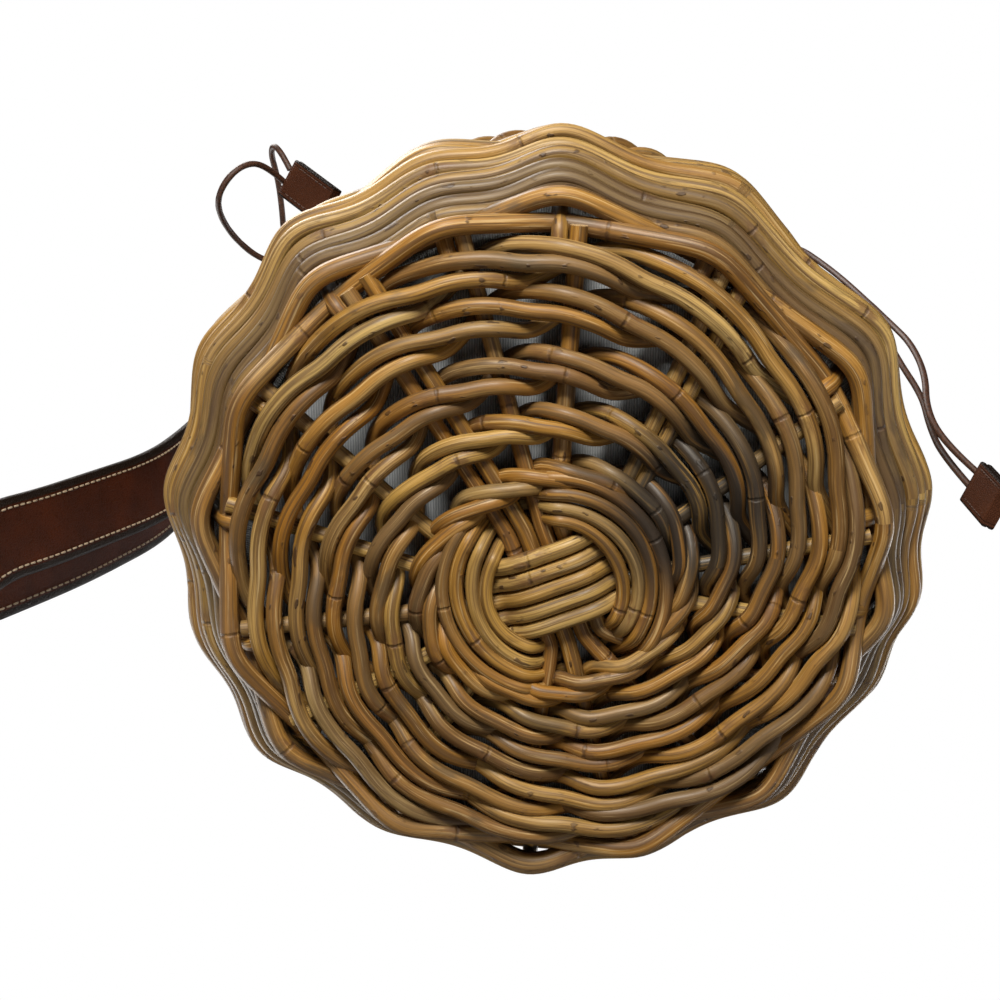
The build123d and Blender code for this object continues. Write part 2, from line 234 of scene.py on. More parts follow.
def cane_finish():
    shader = Shader("natural_cane_skin", "cane")
    grain = shader.attribute("grain")
    around_x, around_y, length = shader.parts(grain)
    tone, ring_gap, cut = shader.parts(shader.attribute("tone"))
    here = shader.node("ShaderNodeTexCoord", output="Object")

    # The vine's own tone, from nearly black to straw, with broad darker and paler stretches.
    base = shader.ramp(tone, [
        (0.0, (0.080, 0.046, 0.018)), (0.10, (0.165, 0.096, 0.034)), (0.25, (0.290, 0.146, 0.026)),
        (0.42, (0.350, 0.150, 0.013)), (0.60, (0.420, 0.222, 0.036)), (0.78, (0.490, 0.296, 0.070)),
        (1.0, (0.600, 0.405, 0.135)),
    ])
    drift = shader.noise(shader.scaled(grain, (30, 30, 9)), 1.0, 2.0)
    base = shader.mix(drift.step(0.40, 0.66) * 0.6, base, (0.250, 0.118, 0.028))
    pale = shader.noise(shader.scaled(grain, (60, 60, 14)), 1.0, 2.0).step(0.52, 0.70)
    base = shader.mix(pale * 0.5, base, (0.590, 0.410, 0.165))

    # Streaks and fine fibres that run along the cane: coarse across it, long down it.
    streaks = shader.noise(shader.scaled(grain, (620, 620, 13)), 1.0, 3.0, 0.6)
    fibres = shader.noise(shader.scaled(grain, (1700, 1700, 34)), 1.0, 4.0, 0.65)
    base = shader.mix((1 - streaks.step(0.38, 0.55)) * 0.80, base, (0.095, 0.044, 0.011))
    base = shader.mix((1 - fibres.step(0.34, 0.53)) * 0.60, base, (0.095, 0.044, 0.013))
    base = shader.mix(fibres.step(0.55, 0.68) * 0.55, base, (0.720, 0.520, 0.250))

    # Weathered and grey places.
    weathered = shader.noise(shader.scaled(grain, (70, 70, 20)), 1.0, 4.0, 0.65).step(0.585, 0.68)
    base = shader.mix(weathered * 0.68, base, (0.070, 0.046, 0.022))
    aged = shader.noise(shader.scaled(grain, (22, 22, 6)), 1.0, 2.0).step(0.50, 0.66)
    base = shader.mix(aged * 0.42, base, (0.165, 0.112, 0.052))

    # A ragged dark ring at each leaf joint, with a scar that fades out beside it.
    from_ring = ((length / ring_gap).fract() - 0.5).size() * ring_gap
    ragged = shader.noise(shader.scaled(grain, (700, 700, 200)), 1.0, 3.0)
    ring = 1 - (from_ring + ragged * 0.0009).step(0.00055, 0.0013)
    beside = 1 - from_ring.step(0.001, 0.009)
    scar = shader.noise(shader.scaled(grain, (500, 500, 160)), 1.0, 3.0)
    base = shader.mix(beside * scar.step(0.44, 0.60) * 0.75, base, (0.150, 0.068, 0.022))
    base = shader.mix(ring * scar.step(0.36, 0.56) * 0.75, base, (0.070, 0.034, 0.014))

    # Specks in patches, and painted shade on the canes just above the base.
    specks = shader.noise(shader.scaled(grain, (420, 420, 190)), 1.0, 2.0, 0.4).step(0.640, 0.70)
    patch = shader.noise(shader.scaled(grain, (40, 40, 16)), 1.0, 1.0).step(0.42, 0.60)
    base = shader.mix(specks * patch * 0.85, base, (0.055, 0.026, 0.011))

    _, _, height_here = shader.parts(here)
    # painted shade: canes about 6.5 to 30 mm up are darkened, most from 15 to 20 mm, where the wall meets the
    # base
    painted_shade_near_base = height_here.step(0.0065, 0.0150) * (1 - height_here.step(0.020, 0.030))
    base = shader.mix(painted_shade_near_base * 0.74, base, (0.045, 0.022, 0.008))

    # The dark stain to one side of the eye.
    away = shader.node("ShaderNodeVectorMath", {"operation": "DISTANCE"}, (here, STAIN_PLACE), output="Value")
    char = shader.noise(shader.scaled(grain, (420, 420, 15)), 1.0, 4.0, 0.6)
    stained = (1 - away.step(0.016, 0.040)) * char.step(0.36, 0.50)
    base = shader.mix(stained * 0.92, base, (0.022, 0.018, 0.015))

    # Cut ends show the pith.
    pith = shader.noise(here, 2600, 2.0).step(0.42, 0.6)
    face = shader.mix(pith, (0.30, 0.175, 0.075), (0.62, 0.45, 0.23))
    base = shader.mix(cut.step(0.4, 0.6), base, face)

    height = fibres * 0.30 + streaks * 0.35 + ring * 0.6 - specks * patch * 0.5 + scar * beside * 0.4
    shader.finish(Base_Color=base, Roughness=0.42 + fibres * 0.28 + cut * 0.2,
                  Coat_Weight=0.16 - cut * 0.15, Coat_Roughness=0.30,
                  Normal=shader.bump(height, 0.00045))
    return shader


cane_skin = cane_finish()
print("cane finish ready")

# %% [markdown]
# ## Tubes
# A curve with a bevel would give round canes too, but no coordinates for the skin.  So one helper turns
# a line of points into a cane: a ring of corners at each point, a slight swelling at each leaf ring, an
# uneven hand-cut thickness, and a flat cut face at each open end.  Many canes are gathered into one mesh,
# because a maker also thinks of a round or a band as one piece of work.

# %% Tube builder
SIDES = 10
TONES = (0.10, 0.20, 0.28, 0.40, 0.44, 0.50, 0.58, 0.66, 0.80, 0.95)


def unit(rows):
    return rows / np.maximum(np.linalg.norm(rows, axis=-1, keepdims=True), 1e-12)


def distances(points):
    """How far each point of a line lies from its start, measured along it."""
    return np.concatenate([[0], np.cumsum(np.linalg.norm(np.diff(points, axis=0), axis=1))])


def resample(points, step):
    """Even points along an open line."""
    points = np.asarray(points, float)
    reach = distances(points)
    count = max(int(reach[-1] / step), 4)
    marks = np.linspace(0, reach[-1], count + 1)
    return np.column_stack([np.interp(marks, reach, points[:, axis]) for axis in range(3)])


def smooth_curve(points, rounds=3):
    """Cut the corners of an open line again and again until it is smooth; its ends stay."""
    points = np.asarray(points, float)
    for _ in range(rounds):
        first = points[:-1] * 0.75 + points[1:] * 0.25
        second = points[:-1] * 0.25 + points[1:] * 0.75
        middle = np.empty((len(first) * 2, 3))
        middle[0::2], middle[1::2] = first, second
        points = np.vstack([points[:1], middle[1:-1], points[-1:]])
    return points


def smoothed(rows, reach):
    """Each value of a closed line averaged with its neighbours, with a soft window."""
    window = np.hanning(2 * reach + 3)[1:-1]
    window /= window.sum()
    padded = np.vstack([rows[-reach:], rows, rows[:reach]])
    return np.column_stack([np.convolve(padded[:, axis], window, "valid") for axis in range(rows.shape[1])])


def wall_faces(rows, around, first=0):
    """The four-cornered faces between the rows of a tube with so many corners around."""
    return [(first + row * around + k, first + row * around + (k + 1) % around,
             first + (row + 1) * around + (k + 1) % around, first + (row + 1) * around + k)
            for row in range(rows - 1) for k in range(around)]


def smooth_mesh(name, corners, faces, coordinates):
    """A smooth-shaded mesh that carries coordinates for its finish."""
    mesh = bpy.data.meshes.new(name)
    mesh.from_pydata(np.asarray(corners).tolist(), [], faces)
    for label, rows in coordinates.items():
        attribute = mesh.attributes.new(label, "FLOAT_VECTOR", "POINT")
        attribute.data.foreach_set("vector", np.asarray(rows).astype(np.float32).ravel())
    mesh.polygons.foreach_set("use_smooth", [True] * len(mesh.polygons))
    return mesh


class CaneMesh:
    """Canes that are gathered into one mesh."""

    def __init__(self, name, seed):
        self.name, self.dice = name, random.Random(seed)
        self.corners, self.faces, self.grain, self.tones = [], [], [], []
        self.count = 0

    def add(self, points, diameter, across=(0, 0, 1), closed=False, tone=None, ends=True, hidden=None,
            renewals=3):
        """One cane.  across is any direction that the cane never points in, or one for each point.

        Where hidden is given, one number for each point, the cane is replaced by a new one at some of the
        places where that number is greatest, as a maker does behind a stake.
        """
        dice = self.dice
        points = np.asarray(points, float)
        if closed:
            points = np.vstack([points, points[:1]])
        tangents = np.gradient(points, axis=0)
        if closed:
            tangents[0] = tangents[-1] = points[1] - points[-2]
        tangents = unit(tangents)
        side = unit(np.cross(tangents, np.asarray(across, float)))
        over = np.cross(side, tangents)
        length = distances(points)
        gap = dice.uniform(0.075, 0.15)
        start = dice.uniform(0, gap)
        place = length + start
        from_ring = np.abs((place / gap) % 1 - 0.5) * gap
        swell = 1 + 0.055 * np.exp(-(from_ring / 0.0035) ** 2)
        swell += 0.02 * np.sin(length * dice.uniform(25, 60) + dice.uniform(0, 6))
        if closed:
            swell[-1] = swell[0]
        radius = diameter / 2 * dice.uniform(0.95, 1.03) * swell
        turn = np.linspace(0, 2 * np.pi, SIDES, endpoint=False)
        ring = side[:, None] * np.cos(turn)[None, :, None] + over[:, None] * np.sin(turn)[None, :, None]
        corners = points[:, None] + ring * radius[:, None, None]
        shade = dice.random() if tone is None else min(max(tone + dice.uniform(-0.12, 0.12), 0), 1)
        drift = dice.uniform(0, 40)
        shades, drifts = np.full(len(points), shade), np.full(len(points), drift)
        if hidden is not None:
            self._renew(shades, drifts, hidden, renewals, tone)
        grain = np.empty_like(corners)
        grain[..., 0] = np.cos(turn) * diameter / 2 + drifts[:, None] * 0.01
        grain[..., 1] = np.sin(turn) * diameter / 2
        grain[..., 2] = place[:, None]
        rows = len(points)
        self.faces += wall_faces(rows, SIDES, self.count)
        uncut = np.zeros(rows * SIDES)
        self._store(corners.reshape(-1, 3), grain.reshape(-1, 3),
                    np.column_stack([np.repeat(shades, SIDES), np.full(rows * SIDES, gap), uncut]))
        if ends and not closed:
            for row, way in ((0, -1), (rows - 1, 1)):
                middle = points[row] + tangents[row] * way * diameter * 0.04
                self._cap(corners[row], grain[row], middle, shade, gap, way)

    def _renew(self, shades, drifts, hidden, renewals, tone):
        """Give the cane another tone and grain from each hidden splice to the next."""
        dice, count = self.dice, len(shades)
        behind = np.flatnonzero(hidden > np.quantile(hidden, 0.93))
        starts = sorted(dice.choice(list(behind)) for _ in range(renewals))
        for first_row, last_row in zip(starts, starts[1:] + [starts[0] + count]):
            rows = np.arange(first_row, last_row) % count
            pick = dice.choice(TONES)
            pick = pick if tone is None else tone + (pick - 0.5) * 0.45
            shades[rows] = min(max(pick + dice.uniform(-0.08, 0.08), 0), 1)
            drifts[rows] = dice.uniform(0, 40)

    def _store(self, corners, grain, tone):
        self.corners.append(corners)
        self.grain.append(grain)
        self.tones.append(np.broadcast_to(np.asarray(tone, float), (len(corners), 3)))
        self.count += len(corners)

    def _cap(self, rim, grain, middle, shade, gap, way):
        first = self.count
        inner = middle + (rim - middle) * 0.82 + (middle - rim.mean(axis=0)) * 0.6
        self._store(np.vstack([rim, inner, middle[None]]), np.vstack([grain, grain, grain[:1]]),
                    (shade, gap, 1.0))
        for k in range(SIDES):
            after = (k + 1) % SIDES
            bevel = (first + k, first + after, first + SIDES + after, first + SIDES + k)
            face = (first + SIDES + k, first + SIDES + after, first + 2 * SIDES)
            self.faces.append(bevel if way > 0 else bevel[::-1])
            self.faces.append(face if way > 0 else face[::-1])

    def build(self, node_names, body="basket", finish=None):
        """The mesh object, in place of the CAD nodes that it stands for."""
        finish = finish or cane_skin
        coordinates = {"grain": np.vstack(self.grain), "tone": np.vstack(self.tones)}
        mesh = smooth_mesh(self.name, np.vstack(self.corners), self.faces, coordinates)
        piece = place_piece(self.name, mesh, finish, body)
        if node_names:
            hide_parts(*node_names)
        return piece


def place_piece(name, mesh, finish, body=None):
    """Link a mesh as a piece with its finish, riding on a body."""
    piece = bpy.data.objects.new(name, mesh)
    bpy.context.collection.objects.link(piece)
    mesh.materials.clear()
    mesh.materials.append(finish.material)
    if body:
        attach(piece, body)
    return piece


print("tube builder ready")

# %% [markdown]
# ## Sizes taken from the frame
# The stakes, the rounds and the bands are read from the CAD nodes' boxes, so the dressed canes lie where
# the plain ones do.

# %% Sizes
CANE = 5.4 * MM
WEAVER = 5.2 * MM
STAKES = 16
FIRST_STAKE = -16.0
STAKE_WANDER = (10.5, 7.5, -1.0, -4.5, -2.0, -1.5, -1.8, -1.5, -2.6, 0.0, -1.0, -3.5, 0.0, -1.5, -3.0, 5.5)
stake_turns = np.radians([FIRST_STAKE - i * 360 / STAKES + STAKE_WANDER[i] for i in range(STAKES)])

spoke_low, spoke_high = (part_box("base_cross_canes")[i][2] for i in (0, 1))
SPOKE_LEVEL = (spoke_low + spoke_high) / 2
LOW_LEVEL = CANE / 2 + 0.1 * MM
HIGH_LEVEL = SPOKE_LEVEL + CANE + 0.1 * MM
WAVE_IN_BASE = SPOKE_LEVEL - LOW_LEVEL
BORDER_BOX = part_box("rim_border")
RIM_RADIUS = (BORDER_BOX[1][0] - BORDER_BOX[0][0]) / 2 - CANE * 1.5
RIM_LOW, RIM_TOP = BORDER_BOX[0][2], BORDER_BOX[1][2]
BASE_RADIUS = 97.5 * MM
BELLY_RADIUS = 118.2 * MM
BELLY_LOW, BELLY_HIGH = 38 * MM, 60 * MM
FLARE = math.atan2(BELLY_RADIUS - BASE_RADIUS, BELLY_LOW - SPOKE_LEVEL)
EYE = np.array([2.0 * MM, 11.0 * MM, 0.0])
CENTRE_TURN = math.radians(-20)
SPOKE_REACH = 98.5 * MM
print("spokes at", round(SPOKE_LEVEL / MM, 2), "rim radius", round(RIM_RADIUS / MM, 1))


def stake_radius(height):
    """Radius of the stakes' middle lines at a height: base, flare, belly, then a slow close."""
    share = (height - BELLY_HIGH) / (RIM_LOW - BELLY_HIGH)
    upper = BELLY_RADIUS + (RIM_RADIUS - BELLY_RADIUS) * np.clip(share, 0, 1)
    lower = BASE_RADIUS + (height - SPOKE_LEVEL) * math.tan(FLARE)
    return np.minimum(upper, lower)


def stake_count_at(angles, turns):
    """How many stakes lie between the first one and each angle, with fractions between stakes."""
    order = np.concatenate([turns, turns[:4] - 2 * np.pi])
    order = np.concatenate([turns[-4:] + 2 * np.pi, order])
    counts = np.arange(-4, STAKES + 4)
    wrapped = turns[0] - (turns[0] - angles) % (2 * np.pi)
    return np.interp(-wrapped, -order, counts)


def ring_points(centre, radius, height, angles):
    return np.column_stack([centre[0] + radius * np.cos(angles), centre[1] + radius * np.sin(angles),
                            np.broadcast_to(height, angles.shape)])


def full_turn(step, radius):
    return -np.linspace(0, 2 * np.pi, int(2 * np.pi * radius / step), endpoint=False)


# %% [markdown]
# ## The centre of the base
# A round base starts as two bundles of canes laid across each other.  Five canes lie side by side under
# four others, and short canes bind them: they pass under the ends of the five and over the four.  Beyond
# the binding the canes are spread like spokes.

# %% Centre canes and spokes
heading = np.array([math.cos(CENTRE_TURN), math.sin(CENTRE_TURN), 0])
across = np.array([-heading[1], heading[0], 0])
LEVEL = np.array([0, 0, 1.0])
PACK = CANE * 1.02


def spoke_end(index, copy=0):
    turn = stake_turns[index]
    side = np.array([-math.sin(turn), math.cos(turn), 0])
    out = np.array([math.cos(turn), math.sin(turn), 0])
    return out * SPOKE_REACH + side * CANE * (1 + 1.3 * copy) * 1.04 + LEVEL * SPOKE_LEVEL


right_ends = [spoke_end(2), spoke_end(2, 1), spoke_end(1), spoke_end(0), spoke_end(15)]
left_ends = [spoke_end(i) for i in (6, 7, 8, 9, 10)]
front_ends = [spoke_end(5), spoke_end(5, 1), spoke_end(4), spoke_end(3)]
back_ends = [spoke_end(i) for i in (11, 12, 13, 14)]


def spoke_cane(bundle, offset, near, far, dips, tone):
    """One cane of the centre with its two spokes."""
    line = EYE + (across if dips else heading) * offset
    way = heading if dips else across
    spread, flat = 16.2 * MM, 10.6 * MM          # where the cane has come up, and where it still lies flat
    high, low = LEVEL * SPOKE_LEVEL, LEVEL * (LOW_LEVEL if dips else SPOKE_LEVEL)
    points = [near, near * 0.5 + (line - way * spread * 1.3 + high) * 0.5,
              line - way * spread * 1.25 + high, line - way * spread + high,
              line - way * flat + low, line + low, line + way * flat + low,
              line + way * spread + high, line + way * spread * 1.25 + high,
              far * 0.5 + (line + way * spread * 1.3 + high) * 0.5, far]
    bundle.add(resample(smooth_curve(points, 3), 2.0 * MM), CANE, tone=tone)


centre_canes = CaneMesh("centre_canes", 11)
for number, (near, far) in enumerate(zip(left_ends, right_ends)):
    spoke_cane(centre_canes, (number - 2) * PACK, near, far, True, (0.78, 0.90, 0.70, 0.95, 0.85)[number])
centre_canes.build(["base_centre_canes"])
cross_bundle = CaneMesh("cross_canes", 12)
for number, (near, far) in enumerate(zip(front_ends, back_ends)):
    spoke_cane(cross_bundle, (number - 1.5) * PACK, near, far, False, (0.45, 0.6, 0.35, 0.5)[number])
cross_bundle.build(["base_cross_canes"])
print("spokes", 2 * (len(left_ends) + len(front_ends)))

# %% [markdown]
# ## The binding
# Four thin canes on either side hold the crossing: each starts under the five, climbs over the four and
# goes under again.  Each is an arc about the eye, and one curve of its height does the climbing.

# %% Binding canes
TIE_INNER, TIE_PITCH, TIE_CANE = 21.0 * MM, 4.45 * MM, 4.5 * MM
for side, start, end in (("left", 100.0, 216.0), ("right", -99.0, 39.0)):
    ties = CaneMesh(f"binding_canes_{side}", 21 if side == "left" else 22)
    for number in range(4):
        reach = 12 + number * 2.0
        angles = np.radians(np.linspace(start - reach, end + reach, 70))
        edge = np.minimum(angles - angles[0], angles[-1] - angles)
        under = 1 - np.clip(edge / math.radians(26), 0, 1)
        under = under * under * (3 - 2 * under)
        radius = TIE_INNER + number * TIE_PITCH + np.sin(angles * 3 + number * 2) * 0.35 * MM
        heights = LOW_LEVEL - 0.2 * MM + (HIGH_LEVEL - LOW_LEVEL) * under
        heights = heights + 0.3 * MM * np.sin(angles * 4 + number)
        ties.add(ring_points(EYE, radius, heights, angles), TIE_CANE, tone=(0.62, 0.80, 0.50, 0.22)[number])
    ties.build([f"base_ties_{side}"])
print("binding canes", 2 * 4)

# %% [markdown]
# ## The woven rounds of the base
# Each round is worked with three canes at once.  A cane passes over two spokes, behind the next one, and
# comes out again on the inner side, so it lies aslant and two canes show side by side everywhere.
# Sixteen spokes aren't a multiple of three, so the three canes join up as one line that goes round
# three times.  The rounds start about the eye, which sits off the middle, and drift until they are even
# with the base's edge.

# %% Base rounds
ROUND_RADII = [40.4 * MM, 52.2 * MM, 64.4 * MM, 76.8 * MM, 89.0 * MM]
ROUND_SWAY = [3.7 * MM, 5.0 * MM, 5.7 * MM, 5.9 * MM, 5.7 * MM]
ROUND_SQUEEZE = [0.17, 0.09, 0.04, 0.0, 0.0]
ROUND_NODES = [[1], [2, 3], [4], [5, 6], [7]]
LOOSE = 0.75 * MM


def spoke_turns_at(radius, centre):
    """Angles at which the sixteen spokes cross a round; each doubled spoke counts once."""
    turns = []
    ends = dict(zip((6, 7, 8, 9, 10), left_ends)) | dict(zip((2, 1, 0, 15), right_ends[:1] + right_ends[2:]))
    ends |= dict(zip((5, 4, 3), front_ends[:1] + front_ends[2:])) | dict(zip((11, 12, 13, 14), back_ends))
    for index in range(STAKES):
        start = EYE + unit(ends[index][None] - EYE)[0] * 18 * MM
        line = np.linspace(start, ends[index] * 1.1, 200)
        far = np.linalg.norm(line[:, :2] - centre[:2], axis=1)
        spot = line[np.argmin(np.abs(far - radius))] - centre
        turns.append(math.atan2(spot[1], spot[0]))
    return np.unwrap(np.array(turns))


for number, (radius, reach, squeeze) in enumerate(zip(ROUND_RADII, ROUND_SWAY, ROUND_SQUEEZE)):
    centre = EYE * max(1 - number / 4.5, 0)
    turns = spoke_turns_at(radius, centre)
    once = turns[0] + full_turn(2.0 * MM, radius)
    angles = np.concatenate([once, once, once])
    count = np.concatenate([stake_count_at(once, turns) % STAKES + STAKES * lap for lap in range(3)])
    # A hand never lays a cane quite even: each spoke of each lap gets its own small offset.
    wobble = random.Random(60 + number)
    lap_noise = np.array([wobble.uniform(-1, 1) for _ in range(STAKES * 3)])
    loose = np.interp(count, np.arange(STAKES * 3 + 1), np.append(lap_noise, lap_noise[0]))
    # phase is the cane's place in its over, over, behind; shown runs from 0 to 1 while it is in front, and
    # back is how far it is from the spoke that hides it.
    phase = (count + number) / 3 % 1
    shown = np.clip((phase - 1 / 6) / (2 / 3), 0, 1)
    back = np.where(phase > 0.5, phase - 1, phase)
    hiding = np.clip(np.abs(back) * 6, 0, 1)
    sway = np.where(hiding < 1, -np.sin(back * 6 * np.pi / 2), (shown - 0.5) * 2) * reach
    lift = np.where(np.abs(back) < 1 / 3, np.cos(back * 3 * np.pi), -1.0)
    # Stiff cane cuts the corner from spoke to spoke, and the first rounds are squeezed by the crossing.
    from_spoke = np.abs((count + 0.5) % 1 - 0.5)
    chord = radius * (1 - np.cos(np.pi / STAKES)) * (1.1 - 4.4 * from_spoke ** 2)
    oval = 1 - squeeze * np.sin(angles - CENTRE_TURN) ** 2
    twined = CaneMesh(f"base_round_{number + 1}_canes", 30 + number)
    far = radius * oval + sway + chord + loose * LOOSE
    heights = SPOKE_LEVEL + lift * WAVE_IN_BASE + np.where(lift < 0, (shown - 0.5) * 0.8 * MM, 0.0)
    path = smoothed(ring_points(centre, far, heights, angles), 3)
    path[:, 2] = np.maximum(path[:, 2], LOW_LEVEL)
    twined.add(path, CANE * wobble.uniform(0.92, 1.0), closed=True, hidden=lift, renewals=9)
    twined.build([f"base_round_{node}" for node in ROUND_NODES[number]])
print("base rounds", len(ROUND_RADII))

# %% [markdown]
# ## The stakes
# The stakes are pushed in beside the spokes and bent up.  A real stake isn't straight: a band that passes
# outside it pushes it in a little, and one that passes inside pushes it out.  So its line is bent at the
# level of every band, and only then smoothed.

# %% Stakes
STAKE_GIVE, LOWEST_PUSH = 2.2 * MM, 3.6 * MM
BANDS = 6
BAND_LEVELS = [sum(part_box(f"wall_band_{band + 1}")[i][2] for i in (0, 1)) / 2 for band in range(BANDS)]
stakes = CaneMesh("upright_stakes", 40)
for index, turn in enumerate(stake_turns):
    out = np.array([math.cos(turn), math.sin(turn), 0])
    heights = [SPOKE_LEVEL, SPOKE_LEVEL, BELLY_LOW, BELLY_HIGH, RIM_LOW, RIM_TOP - CANE * 1.1]
    radii = [93.6 * MM, BASE_RADIUS, BELLY_RADIUS, BELLY_RADIUS, RIM_RADIUS, RIM_RADIUS]
    corners = [out * r + LEVEL * h for r, h in zip(radii, heights)]
    dense = resample(corners, 4 * MM)
    pushes = [STAKE_GIVE if (index + band) % 2 == 0 else -STAKE_GIVE for band in range(BANDS)]
    pushes = [0.0, -LOWEST_PUSH] + pushes[1:] + [0.0]
    dense += out * np.interp(dense[:, 2], [10 * MM] + BAND_LEVELS + [RIM_LOW], pushes)[:, None]
    sideways = np.array([-out[1], out[0], 0])
    stakes.add(resample(smooth_curve(dense, 2), 2.5 * MM), CANE, across=sideways, tone=0.55)
stakes.build(["wall_stakes"])
print("stakes", STAKES)

# %% [markdown]
# ## How a wall cane runs
# A cosine in and out of the stakes looks too soft, since stiff cane runs nearly straight between the
# points that hold it.  So a wall cane is a ring of straight runs from stake to stake, rounded at each.

# %% Straight runs
CROSS = (CANE + WEAVER) / 2 + 0.3 * MM


def straight_runs(outward, step=2.0 * MM, dip=None):
    """A closed cane that runs nearly straight from stake to stake.

    outward holds its distance from the axis at each stake.  The line is bent round each stake and comes
    back with its count of stakes at each point.  dip draws it inward half-way between the stakes.
    """
    corners = [(far * math.cos(turn), far * math.sin(turn)) for far, turn in zip(outward, stake_turns)]
    corners = np.array(corners + corners[:1])
    if dip is not None:
        middles = (corners[1:] + corners[:-1]) / 2
        middles *= 1 - dip / np.linalg.norm(middles, axis=1, keepdims=True)
        both = np.empty((STAKES * 2 + 1, 2))
        both[0::2], both[1::2] = corners, middles
        corners = both
    reach = distances(corners)
    marks = np.linspace(0, reach[-1], int(reach[-1] / step), endpoint=False)
    line = np.column_stack([np.interp(marks, reach, corners[:, axis]) for axis in (0, 1)])
    return smoothed(line, 7), np.interp(marks, reach, np.linspace(0, STAKES, len(corners)))


print("canes cross the stakes at", round(CROSS / MM, 2), "mm")

# %% [markdown]
# ## The foot
# Two thick canes go round the foot, over one stake and behind the next, each at its own slant between
# the base and the wall.  They carry the bag, so nothing of theirs may come below the floor.

# %% Foot canes
foot = CaneMesh("foot_canes", 41)
FOOT_REACH, FOOT_OUT = 5.45 * MM, 3.6 * MM
tilts = ((math.pi / 2 - FLARE) / 2, math.pi / 2 - FLARE)
corners = ((BASE_RADIUS, SPOKE_LEVEL), (BASE_RADIUS + 2.6 * MM, SPOKE_LEVEL + 3.6 * MM))
for number, (tilt, (far, height)) in enumerate(zip(tilts, corners)):
    outside = np.where((np.arange(STAKES) + number) % 2 == 0, 1.1, -0.9)
    flat_line, count = straight_runs(far + outside * FOOT_REACH * math.sin(tilt) + FOOT_OUT)
    drop = np.interp(count % STAKES, np.arange(STAKES + 1), np.append(outside, outside[0]))
    drop = smoothed(drop[:, None], 5)[:, 0] * FOOT_REACH * math.cos(tilt)
    heights = np.maximum(height - drop, CANE * 0.56)
    foot.add(np.column_stack([flat_line, heights]), CANE * 1.1, closed=True, tone=0.42)
foot.build(["wall_foot_canes"])
print("foot canes 2")

# %% [markdown]
# ## The bands of the wall
# The wall is worked in bands of six canes side by side, each band passing outside the stakes that the
# band below passed inside.  The first is waled: its canes take turns, so that together they cover every
# stake and dip between them.  Six tubes in a loop keep the gaps between the canes real.

# %% Wall bands
for band in range(BANDS):
    low, high = (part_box(f"wall_band_{band + 1}")[i][2] for i in (0, 1))
    levels = np.linspace(low + WEAVER / 2, high - WEAVER / 2, 6)
    canes = CaneMesh(f"wall_band_{band + 1}_canes", 50 + band)
    for number, level in enumerate(levels):
        lean = FLARE if level < BELLY_LOW - WEAVER / 2 else 0.0
        dice = random.Random(100 + band * 10 + number)
        outside = np.where((np.arange(STAKES) + band) % 2 == 1, 1.0, -1.0)
        slack = np.array([dice.uniform(-0.35, 0.35) * MM for _ in range(STAKES)])
        swing = outside * (CROSS / math.cos(lean) - STAKE_GIVE) + np.where(outside > 0, 1.6, 0.0) * MM
        dip = None
        if band == 0:                            # waled: it stays outside every stake
            swing = np.where(outside > 0, swing + 1.6 * MM, 4.4 * MM) + slack * 2.5
            dip = (4.6 + dice.uniform(-0.8, 0.8)) * MM
        flat_line, count = straight_runs(float(stake_radius(level)) + swing + slack, dip=dip)
        around = np.arctan2(flat_line[:, 1], flat_line[:, 0])
        slow_rise = 0.3 * MM * np.sin(around * 3 + dice.uniform(0, 6))
        heights = level + slow_rise + 0.25 * MM * np.sin(around * 8 + dice.uniform(0, 6))
        behind = -np.interp(count % STAKES, np.arange(STAKES + 1), np.append(outside, outside[0]))
        canes.add(np.column_stack([flat_line, heights]), WEAVER * 0.99, closed=True, hidden=behind, tone=0.8)
    canes.build([f"wall_band_{band + 1}"])
print("wall bands", BANDS)

# %% [markdown]
# ## The rim border
# The stake ends are hidden by a border of four canes laid round them like a rope.  A rope is a circle
# whose strands wind about it, so each cane follows a small circle while it goes round the large one.

# %% Rim border
BORDER_CANES, BORDER_TWISTS = 4, 12
border = CaneMesh("rim_border_canes", 70)
middle_height = (RIM_LOW + RIM_TOP) / 2
half_height = (RIM_TOP - RIM_LOW) / 2 - CANE / 2
angles = full_turn(2.0 * MM, RIM_RADIUS)
for strand in range(BORDER_CANES):
    wind = angles * BORDER_TWISTS + strand * 2 * np.pi / BORDER_CANES
    radius = RIM_RADIUS + CANE * 0.98 * np.cos(wind)
    heights = middle_height + half_height * np.sin(wind)
    border.add(ring_points((0, 0), radius, heights, angles), CANE * 0.98, closed=True, tone=0.5)
border.build(["rim_border"])
print("rim border from", round(RIM_LOW / MM, 1), "to", round(RIM_TOP / MM, 1))

# %% [markdown]
# ## Cloth, leather, thread and brass
# The liner is a cloth with a fine rib, drawn by sine waves along the cloth's own coordinates, which stay
# even where the cloth narrows.  Leather is pebbled by Voronoi cells, clouded by slow noise and burnished
# almost black along its cut edges.  Thread and brass need little more than a colour and a sheen.

